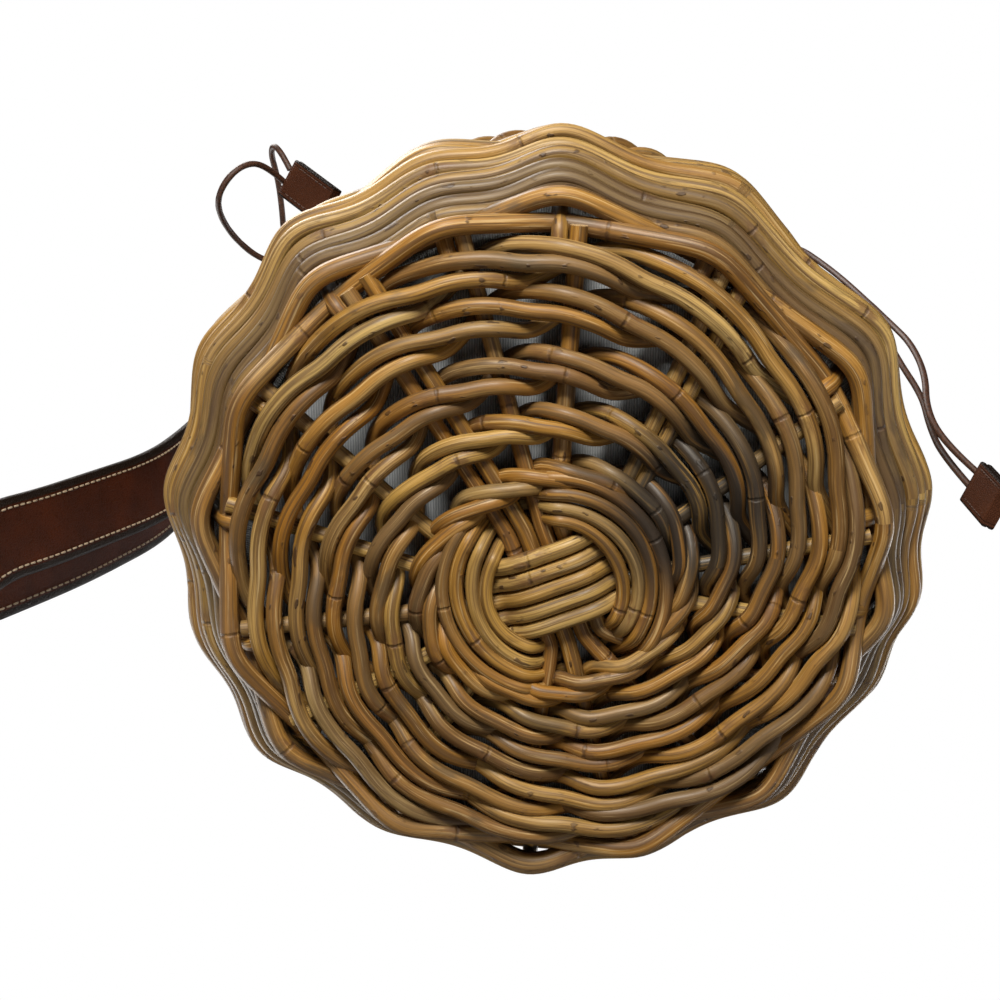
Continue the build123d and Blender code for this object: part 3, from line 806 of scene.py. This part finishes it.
# %% Cloth finish
def cloth_finish():
    shader = Shader("ribbed_liner_cloth", "liner_cloth")
    weave = shader.attribute("weave")
    u, v, _ = shader.parts(weave)
    threads = shader.noise(shader.scaled(weave, (900, 60, 1)), 1.0, 2.0)
    rib = (u * (2 * math.pi / 0.00078) + threads * 1.6).sine() * 0.5 + 0.5
    cross = (v * (2 * math.pi / 0.00042)).sine() * 0.5 + 0.5
    worn = shader.noise(shader.scaled(weave, (22, 22, 1)), 1.0, 3.0)
    base = shader.mix(rib, (0.27, 0.30, 0.335), (0.52, 0.555, 0.59))
    base = shader.mix(cross * 0.14, base, (0.42, 0.44, 0.47))
    base = shader.mix(worn.step(0.35, 0.7) * 0.25, base, (0.62, 0.62, 0.60))
    shader.finish(Base_Color=base, Roughness=0.86 - rib * 0.08,
                  Normal=shader.bump(rib * 0.8 + cross * 0.25 + threads * 0.3, 0.00022))
    return shader


liner_cloth = cloth_finish()
print("cloth finish ready")

# %% Leather and plain finishes
def leather_finish(name, slot, light, dark, grain_size, gloss, edge_at=None):
    shader = Shader(name, slot)
    place = shader.attribute("place")
    pebble_sockets = {"Vector": place, "Scale": 1 / grain_size}
    pebble = shader.node("ShaderNodeTexVoronoi", {"feature": "DISTANCE_TO_EDGE"}, pebble_sockets)
    fold = pebble.step(0.02, 0.22)
    cloudy = shader.noise(place, 34, 3.0)
    fine = shader.noise(place, 2400, 3.0)
    base = shader.mix(cloudy.step(0.35, 0.68), dark, light)
    base = shader.mix((1 - fold) * 0.45, base, tuple(c * 0.42 for c in dark))
    rough = gloss + fine * 0.16 - fold * 0.05
    height = fold * 0.7 + fine * 0.35
    if edge_at:
        across, _, _ = shader.parts(place)
        worn = shader.noise(shader.scaled(place, (0, 700, 0)), 1.0, 2.0) * 0.0003
        edge = (across.size() + worn).step(edge_at - 0.0004, edge_at + 0.0002)
        crease = 1 - ((across.size() - (edge_at - 0.0012)).size()).step(0.0001, 0.0004)
        base = shader.mix(edge, base, (0.012, 0.007, 0.005))
        base = shader.mix(crease * 0.5, base, (0.018, 0.009, 0.006))
        rough = rough - edge * 0.12
        height = height - crease * 0.8
    shader.finish(Base_Color=base, Roughness=rough, Specular_IOR_Level=0.07,
                  Normal=shader.bump(height, 0.00016))
    return shader


def plain_finish(name, slot, light, dark, scale, rough, bump, metallic=0.0):
    shader = Shader(name, slot)
    here = shader.node("ShaderNodeTexCoord", output="Object")
    noise = shader.noise(here, scale, 4.0, 0.6)
    base = shader.mix(noise.step(0.36, 0.66), dark, light)
    shader.finish(Base_Color=base, Roughness=rough + noise * 0.18, Metallic=metallic,
                  Normal=shader.bump(noise, bump))
    return shader


strap_leather = leather_finish("strap_leather", "strap_leather", (0.078, 0.0160, 0.0032),
                               (0.041, 0.0088, 0.0022), 0.00085, 0.50, edge_at=0.0113)
tab_leather = leather_finish("tab_leather", "tab_leather", (0.115, 0.040, 0.019), (0.070, 0.024, 0.012),
                             0.0007, 0.50, edge_at=0.0074)
cord_leather = plain_finish("cord_leather", "cord_leather", (0.085, 0.034, 0.018), (0.036, 0.015, 0.009),
                            900, 0.46, 0.0001)
thread = plain_finish("cream_thread", "strap_leather", (0.52, 0.42, 0.30), (0.30, 0.23, 0.155),
                      2500, 0.66, 0.00008)
brass = plain_finish("dulled_brass", "rivet_brass", (0.60, 0.43, 0.20), (0.28, 0.19, 0.09),
                     420, 0.28, 0.00003, metallic=1.0)
print("finishes ready")

# %% [markdown]
# ## The liner
# A cloth bag hangs inside the basket.  Its floor lies on the base canes, its wall follows the belly, and
# above the border it stands up as a gathered collar.  A cloth simulation would be slow and would differ
# from run to run, so the bag is a turned line whose folds are drawn by a few sines of uneven pitch.  The
# folds only ever go inward, so the cloth never passes through the cane.

# %% Liner outline
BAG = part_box("liner_bag")
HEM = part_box("liner_hem")
COLLAR_RADIUS = 89.0 * MM
CLOTH = 1.3 * MM
INSIDE = 8.8 * MM
LINER_FLOOR, LINER_TOP = BAG[0][2], BAG[1][2]


def liner_profile():
    """The liner's outer line, from the middle of its floor to its top: radius, height, fold depth."""
    line = [(r * MM, LINER_FLOOR, 0.0) for r in range(0, 76, 4)]
    foot = float(stake_radius(LINER_FLOOR)) - INSIDE - 2.6 * MM
    line.append((foot - 5 * MM, LINER_FLOOR, 0.1))
    line.append((foot - 1.4 * MM, LINER_FLOOR + 0.9 * MM, 0.2))
    line.append((foot + 0.6 * MM, LINER_FLOOR + 3.4 * MM, 0.4))
    for height in np.arange(LINER_FLOOR + 7 * MM, RIM_LOW - 9 * MM, 5 * MM):
        lean = 2.2 * MM if height < BELLY_LOW + 4 * MM else 0.0
        line.append((float(stake_radius(height)) - INSIDE - lean, height, 0.8))
    for height in np.arange(RIM_LOW - 4 * MM, LINER_TOP, 3.5 * MM):
        line.append((COLLAR_RADIUS, height, 1.0))
    line.append((COLLAR_RADIUS, LINER_TOP, 1.0))
    return np.array(line)


print("collar stands", round((LINER_TOP - RIM_TOP) / MM, 1), "mm over the border")

# %% Folds and turned cloth
def gathers(angles):
    """How deep the pleats and the fine creases of the gathered cloth are, from 0 to 1."""
    bunched = angles * 14.5 + 1.4 * np.sin(angles * 5) + 0.9 * np.sin(angles * 3 + 1)
    return 1 - np.abs(np.sin(bunched)) ** 0.8, np.sin(angles * 47 + 2.2 * np.sin(angles * 4)) * 0.5 + 0.5


def fold_depth(angles, share, height):
    """Soft uneven pleats, deeper toward the gathered top."""
    pleats, creases = gathers(angles)
    slow = np.sin(angles * 7 + 2.0 + height * 30) * 0.5 + 0.5
    gathered = np.clip((height - RIM_LOW + 25 * MM) / (40 * MM), 0, 1)
    fine = (pleats * 4.6 * MM + creases * 0.9 * MM) * (0.12 + 0.88 * gathered)
    return share * (fine + slow * 1.0 * MM)


def revolve(line, around, folded, skip=None):
    """Corners, faces and coordinates of a line turned about the bag's axis."""
    turn = np.linspace(0, 2 * np.pi, around, endpoint=False)
    corners, weave = [], []
    for (radius, height, share), v in zip(line, distances(line[:, :2])):
        inner = np.maximum(radius - folded(turn, share, height), 0)
        x, y = inner * np.cos(turn), inner * np.sin(turn)
        corners.append(np.column_stack([x, y, np.full(around, height)]))
        flat_part = share < 0.15
        weave.append(np.column_stack([x, y, 0 * x] if flat_part else [turn * 0.1, np.full(around, v), 0 * x]))
    faces = wall_faces(len(line), around)
    if skip:
        faces = [face for spot, face in enumerate(faces) if not skip(spot // around, turn[spot % around])]
    return np.vstack(corners), faces, {"weave": np.vstack(weave)}


def cloth_piece(name, *turned):
    return place_piece(name, smooth_mesh(name, *turned), liner_cloth, "basket")


print("cloth builder ready")

# %% Liner bag
outer_line = liner_profile()
inner_line = outer_line[::-1].copy()
inner_line[:, 0] = np.maximum(inner_line[:, 0] - CLOTH, 0)
inner_line[:, 1] = np.maximum(inner_line[:, 1], LINER_FLOOR + CLOTH)
inner_line[:, 1] = np.where(inner_line[:, 2] < 0.3, inner_line[:, 1].min(), inner_line[:, 1])
full_line = np.vstack([outer_line, inner_line])
liner = cloth_piece("liner_bag_cloth", *revolve(full_line, 192, fold_depth))
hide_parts("liner_bag")
print("liner from", round(LINER_FLOOR / MM, 1), "to", round(LINER_TOP / MM, 1))

# %% [markdown]
# ## The drawstring channel
# The collar's edge is turned over and sewn into a channel for two drawstrings.  It is a turned piece too,
# with a squarish round section, and it is left open at two slots where the laces come out.

# %% Drawstring channel
HEM_OUT = HEM[1][0]
hem_low, hem_high = HEM[0][2], HEM[1][2]
hem_middle = (hem_low + hem_high) / 2
hem_in = COLLAR_RADIUS + 0.15 * MM
HEM_CORNERS = 24


def squared(value, power):
    """A sine or cosine pushed toward its ends, which turns a circle into a rounded square."""
    return math.copysign(abs(value) ** power, value)


hem_line = []
for corner in range(HEM_CORNERS + 1):
    turn = 2 * math.pi * corner / HEM_CORNERS
    reach = (hem_in + HEM_OUT) / 2 + (HEM_OUT - hem_in) / 2 * squared(math.cos(turn), 0.45)
    level = hem_middle + (hem_high - hem_low) / 2 * squared(math.sin(turn), 0.7)
    hem_line.append((reach, level, 1.0))
hem_line = np.array(hem_line)
SLOT_WIDE, SLOT_HIGH = 9.2 * MM, 9.8 * MM
SLOTS = [math.radians(209), math.radians(-33) % (2 * math.pi)]


def hem_folds(angles, share, height):
    pleats, creases = gathers(angles)
    return creases * 0.35 * MM + pleats * 0.55 * MM


def slot_here(row, angle):
    reach, level, _ = hem_line[row]
    outside = reach > (hem_in + HEM_OUT) / 2 + 0.5 * MM and abs(level - hem_middle) < SLOT_HIGH / 2
    return outside and any(abs(angle - slot) * HEM_OUT < SLOT_WIDE / 2 for slot in SLOTS)


hem = cloth_piece("drawstring_channel", *revolve(hem_line, 320, hem_folds, slot_here))
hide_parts("liner_hem")

# %% [markdown]
# ## The laces
# Two leather laces leave the channel on the left and two on the right.  Each pair hangs over the border
# and ends in a small folded leather tab.  A lace is a fixed length of something limp, so its route is a
# list of given points, and a curve draws the smooth line past them.  One end is at the channel and the
# other at its tab.

# %% Lace routes
CORD = 2.5 * MM


def curve_points(points):
    """Close points on the smooth line that a curve takes past its control points."""
    data = bpy.data.curves.new("route", "CURVE")
    data.dimensions = "3D"
    data.resolution_u = 12
    spline = data.splines.new("NURBS")
    spline.points.add(len(points) - 1)
    for spot, place in zip(spline.points, points):
        spot.co = (*(c * MM for c in place), 1)
    spline.order_u = 3
    spline.use_endpoint_u = True
    carrier = bpy.data.objects.new("route", data)
    bpy.context.collection.objects.link(carrier)
    mesh = bpy.data.meshes.new_from_object(carrier)
    found = np.array([v.co for v in mesh.vertices])
    bpy.data.objects.remove(carrier)
    bpy.data.curves.remove(data)
    bpy.data.meshes.remove(mesh)
    return found


TAILS = {
    "left_tail_a": [(-84, -46.5, 250.5), (-103, -51, 249), (-120, -56, 241), (-129, -66, 231),
                    (-133, -77, 219), (-132, -86, 210), (-126, -95, 209), (-119, -99, 215),
                    (-113, -96, 223), (-108, -90, 229)],
    "left_tail_b": [(-81.8, -50.3, 256), (-98, -57, 254), (-112, -64, 251), (-112, -77, 249),
                    (-113, -90, 247), (-115, -100, 244), (-113, -104, 239), (-109, -101, 234),
                    (-105.5, -94.5, 231.5)],
    "right_tail_a": [(80.5, -54, 256), (95, -62, 257), (107, -60, 251), (114, -56, 237), (120, -52, 222),
                     (126, -47, 202), (135, -39, 181), (139, -35, 162), (141, -27, 143), (138, -18, 124),
                     (142, -9, 108), (152, -1, 96)],
    "right_tail_b": [(82.5, -50.5, 250.5), (97, -56, 247), (111, -52, 241), (122, -45, 227), (130, -42, 208),
                     (133, -35, 189), (136, -27, 170), (142, -17, 151), (142, -9, 135), (144, -2, 120),
                     (149.6, 4.0, 97)],
}
# A direction that each side's laces never point in, for the rings of their tubes; the right pair's runs down
# a little.
NEVER_ALONG = {"left": (0.31, 0.87, 0.38), "right": (0.6, 0.75, -0.28)}
print("lace routes", len(TAILS))

# %% Laces
laces = {}
for name, route in TAILS.items():
    side = name.split("_")[0]
    points = resample(curve_points(route), 1.2 * MM)
    tube = CaneMesh(f"{name}_lace", 5)
    tube.add(points, CORD, across=NEVER_ALONG[side], tone=0.5)
    piece = tube.build([name], body=None, finish=cord_leather)
    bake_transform(piece)
    length = round(float(distances(points)[-1]), 4)
    laces[name] = (piece, points, length)
    print(name, "is", length, "m long")

# %% [markdown]
# ## Leather strips
# The tabs and the strap are flat strips with softly rounded edges.  A plain box would catch no light along
# its edges, so one outline with four rounded corners is carried along a line, and the leather's own
# coordinates go with it: across the strip, along it, and through its thickness.

# %% Strip outline and ribbon
def strip_outline(width, thick, bend):
    """A flat rectangle with rounded corners, and a few more corners across its two faces."""
    half_w, half_t = width / 2 - bend, thick / 2 - bend
    outline = []
    for way_w, way_t, start in ((1, 1, 0), (-1, 1, 90), (-1, -1, 180), (1, -1, 270)):
        for turn in np.radians(start + np.arange(5) * 22.5):
            outline.append((way_w * half_w + bend * math.cos(turn), way_t * half_t + bend * math.sin(turn)))
    filled = []
    for first, second in zip(np.array(outline), np.roll(outline, -1, axis=0)):
        filled.append(first)
        if abs(first[0] - second[0]) > width / 2:
            filled += [first + (second - first) * share for share in (0.06, 0.25, 0.5, 0.75, 0.94)]
    return np.array(filled)


def ribbon(name, points, width_ways, width, thick, corner=0.35):
    """A leather strip along a line, where width_ways holds one direction for each point.

    It comes back with the directions across it and out of its face, for the stitches.
    """
    tangents = unit(np.gradient(points, axis=0))
    wide = unit(width_ways - tangents * np.sum(width_ways * tangents, axis=1, keepdims=True))
    up = np.cross(tangents, wide)
    outline = strip_outline(width, thick, thick * corner)
    count = len(outline)
    corners = points[:, None] + wide[:, None] * outline[None, :, :1] + up[:, None] * outline[None, :, 1:]
    place = np.empty_like(corners)
    place[..., 0] = outline[None, :, 0]
    place[..., 1] = distances(points)[:, None]
    place[..., 2] = outline[None, :, 1]
    total = len(points) * count
    ends = [tuple(range(count))[::-1], tuple(range(total - count, total))]
    faces = wall_faces(len(points), count) + ends
    mesh = smooth_mesh(name, corners.reshape(-1, 3), faces, {"place": place.reshape(-1, 3)})
    for end in mesh.polygons[-2:]:
        end.use_smooth = False
    mesh.update()
    return mesh, wide, up


print("ribbon builder ready")

# %% Joining and stitching
def joined(name, meshes):
    """Several meshes as one."""
    parts = []
    for mesh in meshes:
        part = bpy.data.objects.new(name, mesh)
        bpy.context.collection.objects.link(part)
        parts.append(part)
    with bpy.context.temp_override(active_object=parts[0], selected_editable_objects=parts):
        bpy.ops.object.join()
    mesh = parts[0].data
    bpy.data.objects.remove(parts[0])
    mesh.name = name
    return mesh


def stitch_row(bundle, spots, ways, ups, gap, length, thick):
    """Short raised threads along a line of spots, each dipping into the leather at its ends."""
    reach = distances(spots)
    for middle in np.arange(gap, reach[-1] - gap, gap):
        near = [np.array([np.interp(middle + share * length, reach, spots[:, axis]) for axis in range(3)])
                for share in (-0.5, -0.3, 0, 0.3, 0.5)]
        row = min(int(np.searchsorted(reach, middle)), len(ups) - 1)
        line = [spot + ups[row] * thick * rise for spot, rise in zip(near, (-0.45, 0.05, 0.22, 0.05, -0.45))]
        bundle.add(line, thick, across=ways[row], tone=0.5, ends=False)


print("stitch builder ready")

# %% [markdown]
# ## The tabs
# Each pair of laces ends between two leaves of leather that are stitched together along both edges.  The
# two leaves are two ribbons back to back, joined into one piece that rides on the body of its pull tails.

# %% Tabs
TABS = {
    "left_tab": ((-106.3, -92, 229.5), (18, 10.5, -16), (-8, 14, 0), "left_pull_tails"),
    "right_tab": ((151, 2.2, 97.2), (2, 2, -24), (-5, 11, 0), "right_pull_tails"),
}
TAB_LONG, TAB_WIDE, TAB_THICK = 25 * MM, 16 * MM, 2.45 * MM
TAB_STITCHES_AT, TAB_PITCH, TAB_STITCH, TAB_THREAD = 5.9 * MM, 2.6 * MM, 1.9 * MM, 0.55 * MM


def frame_of(along, wide):
    """Three square directions: along, across and out of a tab."""
    forward = unit(np.array([along], float))[0]
    width = np.array(wide, float)
    width = unit((width - forward * (width @ forward))[None])[0]
    return forward, width, np.cross(forward, width)


for name, (start, along, wide, body) in TABS.items():
    side = name.split("_")[0]
    forward, width_way, up_way = frame_of(along, wide)
    origin = np.array(start) * MM + forward * CORD * 0.7
    leaves, threads = [], CaneMesh(f"{name}_stitches", 90)
    for leaf in (-1, 1):
        steps = np.linspace(0, TAB_LONG, 14)
        line = origin + forward * steps[:, None] + up_way * leaf * (TAB_THICK / 2 + 0.02 * MM)
        leaf_ways = np.tile(width_way, (len(line), 1))
        mesh, _, _ = ribbon(f"{name}_leaf", line, leaf_ways, TAB_WIDE, TAB_THICK, corner=0.32)
        leaves.append(mesh)
        for edge in (-1, 1):
            row = line[1:-1] + width_way * edge * TAB_STITCHES_AT + up_way * leaf * (TAB_THICK / 2)
            ways, ups = np.tile(width_way, (len(row), 1)), np.tile(up_way * leaf, (len(row), 1))
            stitch_row(threads, row, ways, ups, TAB_PITCH, TAB_STITCH, TAB_THREAD)
    tab = place_piece(f"{name}_leather", joined(f"{name}_leather", leaves), tab_leather, body)
    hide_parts(name)
    stitches = threads.build([], body=body, finish=cord_leather)
    for letter, extra in (("a", [tab, stitches]), ("b", [tab])):
        piece, points, length = laces[f"{side}_tail_{letter}"]
print("tabs", len(TABS))

# %% [markdown]
# ## The strap
# One long strip of leather, folded round the border at both ends and riveted to itself.  It leaves the
# border on the left and on the right, meets over the left side, and hangs down beside the wall in a
# flattened loop.  It is one ribbon from end to end, because a joint would show as a step in the leather.

# %% Strap route
STRAP_WIDTH, STRAP_THICK = 27.5 * MM, 3.2 * MM
WRAP = [(2.4, 254.9), (2.4, 238.9), (-11.82, RIM_TOP / MM + 1.0), (-11.82, 207.2), (11.82, 207.2),
        (11.82, RIM_TOP / MM + 1.0), (5.7, 238.9)]
LOOP = [(-134.5, 18.5, 270), (-144, 19, 270), (-145.5, 19, 200), (-150, 18, 150), (-173, 13, 76),
        (-182, 10, 48), (-189, 14, 5), (-204, 26, 5), (-212, 31, 32), (-192, 31.6, 74),
        (-175, 33.5, 118), (-157, 35, 180), (-153, 30, 279), (-134.5, 26.5, 279)]
OVER_MOUTH = [(5.7, 280), (-45, 272.5), (-110, 266), (-180, 269.9), (-218, 279), (-232, 279)]


def upright(anchor, turn, points):
    """Points drawn in an upright plane that stands on the border at an angle."""
    start = Vector((math.cos(math.radians(anchor)), math.sin(math.radians(anchor)), 0)) * RIM_RADIUS
    out = Vector((math.cos(math.radians(turn)), math.sin(math.radians(turn)), 0))
    return [tuple(start / MM + out * reach + Vector((0, 0, height))) for reach, height in points]


def rounded(points, cuts):
    """A line with each corner rounded off by the given cut."""
    points = [np.array(p, float) for p in points]
    line = [points[0]]
    for before, corner, after, cut in zip(points, points[1:], points[2:], cuts):
        back, on = before - corner, after - corner
        size = min(cut, 0.46 * np.linalg.norm(back), 0.46 * np.linalg.norm(on))
        first, last = corner + unit(back[None])[0] * size, corner + unit(on[None])[0] * size
        for share in np.linspace(0, 1, 12):
            line.append(first * (1 - share) ** 2 + corner * 2 * share * (1 - share) + last * share ** 2)
    line.append(points[-1])
    return np.array(line) * MM


print("the fold has", len(WRAP), "corners and the loop", len(LOOP))

# %% Strap
TIGHT, EASY = 6.0, 26.0                          # how much each corner is rounded: in the fold, and elsewhere
left_part = upright(173.2, 170.0, WRAP + [(5.7, 270), (25.4, 270)])
right_part = upright(-18.25, -14.3, WRAP + OVER_MOUTH)
strap_corners = left_part + LOOP + right_part[::-1]
folded = 5
cuts = [TIGHT] * folded + [EASY] * (len(strap_corners) - 2 - 2 * folded) + [TIGHT] * folded
strap_line = resample(rounded(strap_corners, cuts), 2.0 * MM)
left_way = np.array([0.174, 0.985, 0])
right_way = np.array([0.247, 0.969, 0])
shares = np.linspace(0, 1, len(strap_line))[:, None]
strap_ways = unit(left_way * (1 - shares) + right_way * shares)
strap_mesh, wides, ups = ribbon("shoulder_strap", strap_line, strap_ways, STRAP_WIDTH, STRAP_THICK)
strap = place_piece("shoulder_strap", strap_mesh, strap_leather)
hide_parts("strap_left_end", "strap_right_end", "strap_loop")
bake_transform(strap)
print("strap length", round(float(distances(strap_line)[-1]), 3))

# %% [markdown]
# ## The strap's stitching
# Two rows of cream thread run along both faces, beside the burnished edges.  Each stitch is a short thread
# that dips into the leather at its ends; a bump in the leather would lie flat when the light is low.

# %% Strap stitching
FROM_EDGE, STITCH_PITCH, STITCH_LONG, THREAD_THICK = 3.7 * MM, 3.7 * MM, 2.5 * MM, 0.72 * MM
plain = slice(3, -3)                             # no stitches at the very ends
strap_stitches = CaneMesh("strap_stitches", 95)
for face in (-1, 1):
    for edge in (-1, 1):
        row = strap_line + wides * edge * (STRAP_WIDTH / 2 - FROM_EDGE) + ups * face * STRAP_THICK / 2
        stitch_row(strap_stitches, row[plain], wides[plain], ups[plain] * face,
                   STITCH_PITCH, STITCH_LONG, THREAD_THICK)
stitches = strap_stitches.build([], body=None, finish=thread)
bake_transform(stitches)
print("stitches drawn")

# %% [markdown]
# ## Rivets and drawstrings
# The brass rivets and the drawstrings inside the channel already have their real shapes in the CAD, so
# those nodes are kept and only given their finish.

# %% Brass rivets and the drawstring inside the channel
for node, finish in (("left_rivets", brass), ("right_rivets", brass), ("left_drawstring", cord_leather),
                     ("right_drawstring", cord_leather)):
    for piece in bpy.data.objects:
        if piece.type == "MESH" and node in (piece.get("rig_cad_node"), piece.name):
            piece.data.materials.clear()
            piece.data.materials.append(finish.material)
            print(node, "is finished in", finish.material.name)

# %% [markdown]
# ## The floor
# The bag stands on a plain pale sheet.  From above it takes the bag's shadow and fades out all round, so
# that no edge shows.  From below it isn't there at all: it would hide the base and keep the light off.

# %% Floor
FLOOR_FADES = (0.26, 0.62)                       # distances from the bag's axis
FLOOR_HALF = 3


def floor_finish():
    """Pale paper from above, fading to nothing round the bag; nothing at all from below."""
    material = bpy.data.materials.new("pale_floor")
    material.use_nodes = True
    tree = material.node_tree
    tree.nodes.clear()
    new, link = tree.nodes.new, tree.links.new
    paper, clear = new("ShaderNodeBsdfDiffuse"), new("ShaderNodeBsdfTransparent")
    paper.inputs["Color"].default_value = (0.92, 0.92, 0.92, 1)
    mixed, output = new("ShaderNodeMixShader"), new("ShaderNodeOutputMaterial")
    place, far, fade = new("ShaderNodeTexCoord"), new("ShaderNodeVectorMath"), new("ShaderNodeMapRange")
    far.operation = "LENGTH"
    fade.interpolation_type = "SMOOTHSTEP"
    fade.inputs["From Min"].default_value, fade.inputs["From Max"].default_value = FLOOR_FADES
    link(place.outputs["Object"], far.inputs[0])
    link(far.outputs["Value"], fade.inputs["Value"])
    side, ray = new("ShaderNodeNewGeometry"), new("ShaderNodeLightPath")
    total = fade.outputs["Result"]
    for source in (side.outputs["Backfacing"], ray.outputs["Is Shadow Ray"], ray.outputs["Is Diffuse Ray"]):
        larger = new("ShaderNodeMath")
        larger.operation = "MAXIMUM"
        link(total, larger.inputs[0])
        link(source, larger.inputs[1])
        total = larger.outputs[0]
    link(total, mixed.inputs[0])
    link(paper.outputs[0], mixed.inputs[1])
    link(clear.outputs[0], mixed.inputs[2])
    link(mixed.outputs[0], output.inputs[0])
    return material


floor_mesh = bpy.data.meshes.new("floor")
floor_corners = [(x * FLOOR_HALF, y * FLOOR_HALF, 0) for x, y in ((-1, -1), (1, -1), (1, 1), (-1, 1))]
floor_mesh.from_pydata(floor_corners, [], [(0, 1, 2, 3)])
floor = bpy.data.objects.new("floor", floor_mesh)
floor_mesh.materials.append(floor_finish())
bpy.context.collection.objects.link(floor)
print("floor", 2 * FLOOR_HALF, "m wide")

# %% [markdown]
# ## White all round
# The background is plain white, but a white world would also light the bag from everywhere and wash it
# out.  So the camera, and what is seen through anything clear, meet white; every other ray meets a dim sky.

# %% World
world = bpy.data.worlds.new("plain_white")
world.use_nodes = True
bpy.context.scene.world = world
tree = world.node_tree
tree.nodes.clear()
ambient, white = tree.nodes.new("ShaderNodeBackground"), tree.nodes.new("ShaderNodeBackground")
ambient.inputs[0].default_value = (0.93, 0.97, 1.0, 1)
ambient.inputs[1].default_value = 0.022
white.inputs[1].default_value = 1.0
white.inputs[0].default_value = (1, 1, 1, 1)
ray = tree.nodes.new("ShaderNodeLightPath")
either = tree.nodes.new("ShaderNodeMath")
either.operation = "MAXIMUM"
mixed, output = tree.nodes.new("ShaderNodeMixShader"), tree.nodes.new("ShaderNodeOutputWorld")
tree.links.new(ray.outputs["Is Camera Ray"], either.inputs[0])
tree.links.new(ray.outputs["Is Transmission Ray"], either.inputs[1])
tree.links.new(either.outputs[0], mixed.inputs[0])
tree.links.new(ambient.outputs[0], mixed.inputs[1])
tree.links.new(white.outputs[0], mixed.inputs[2])
tree.links.new(mixed.outputs[0], output.inputs[0])
print("world ready")

# %% [markdown]
# ## The lamps
# One lamp, like a window, stands low at the front and rakes across the base, so that every cane has a lit
# side and a dark side.  A weak one fills the shadows below.  Three large ones light the bag from above, for
# views of its wall and mouth.

# %% Lamps
def lamp(name, place, aim, size, power, colour):
    data = bpy.data.lights.new(name, "AREA")
    data.shape = "DISK"
    data.size = size
    data.energy = power
    data.color = colour
    light = bpy.data.objects.new(name, data)
    light.location = place
    light.rotation_euler = (Vector(aim) - Vector(place)).to_track_quat("-Z", "Y").to_euler()
    bpy.context.collection.objects.link(light)
    light.visible_camera = False
    return light


lamp("window_side_key", (-0.12, -0.90, -0.58), (0, 0, 0.04), 0.34, 15.5, (1.0, 0.955, 0.87))
lamp("low_fill", (0.35, 0.25, -1.0), (0, 0, 0.0), 0.9, 2.0, (1.0, 0.955, 0.88))
lamp("upper_key", (-0.7, -0.9, 1.3), (0, 0, 0.1), 0.8, 27.0, (1.0, 0.98, 0.95))
lamp("upper_fill", (1.0, 0.8, 1.1), (0, 0, 0.1), 1.0, 20.0, (0.98, 0.985, 1.0))
lamp("far_side_fill", (-1.1, 0.9, 0.7), (0, 0, 0.1), 1.0, 15.0, (1.0, 0.985, 0.96))
bpy.context.scene.view_settings.view_transform = "Standard"
print("lamps", len(bpy.data.lights))

# %% [markdown]
# ## The end
# The last cell says that the scene is built.

# %% The end
print("scene built")
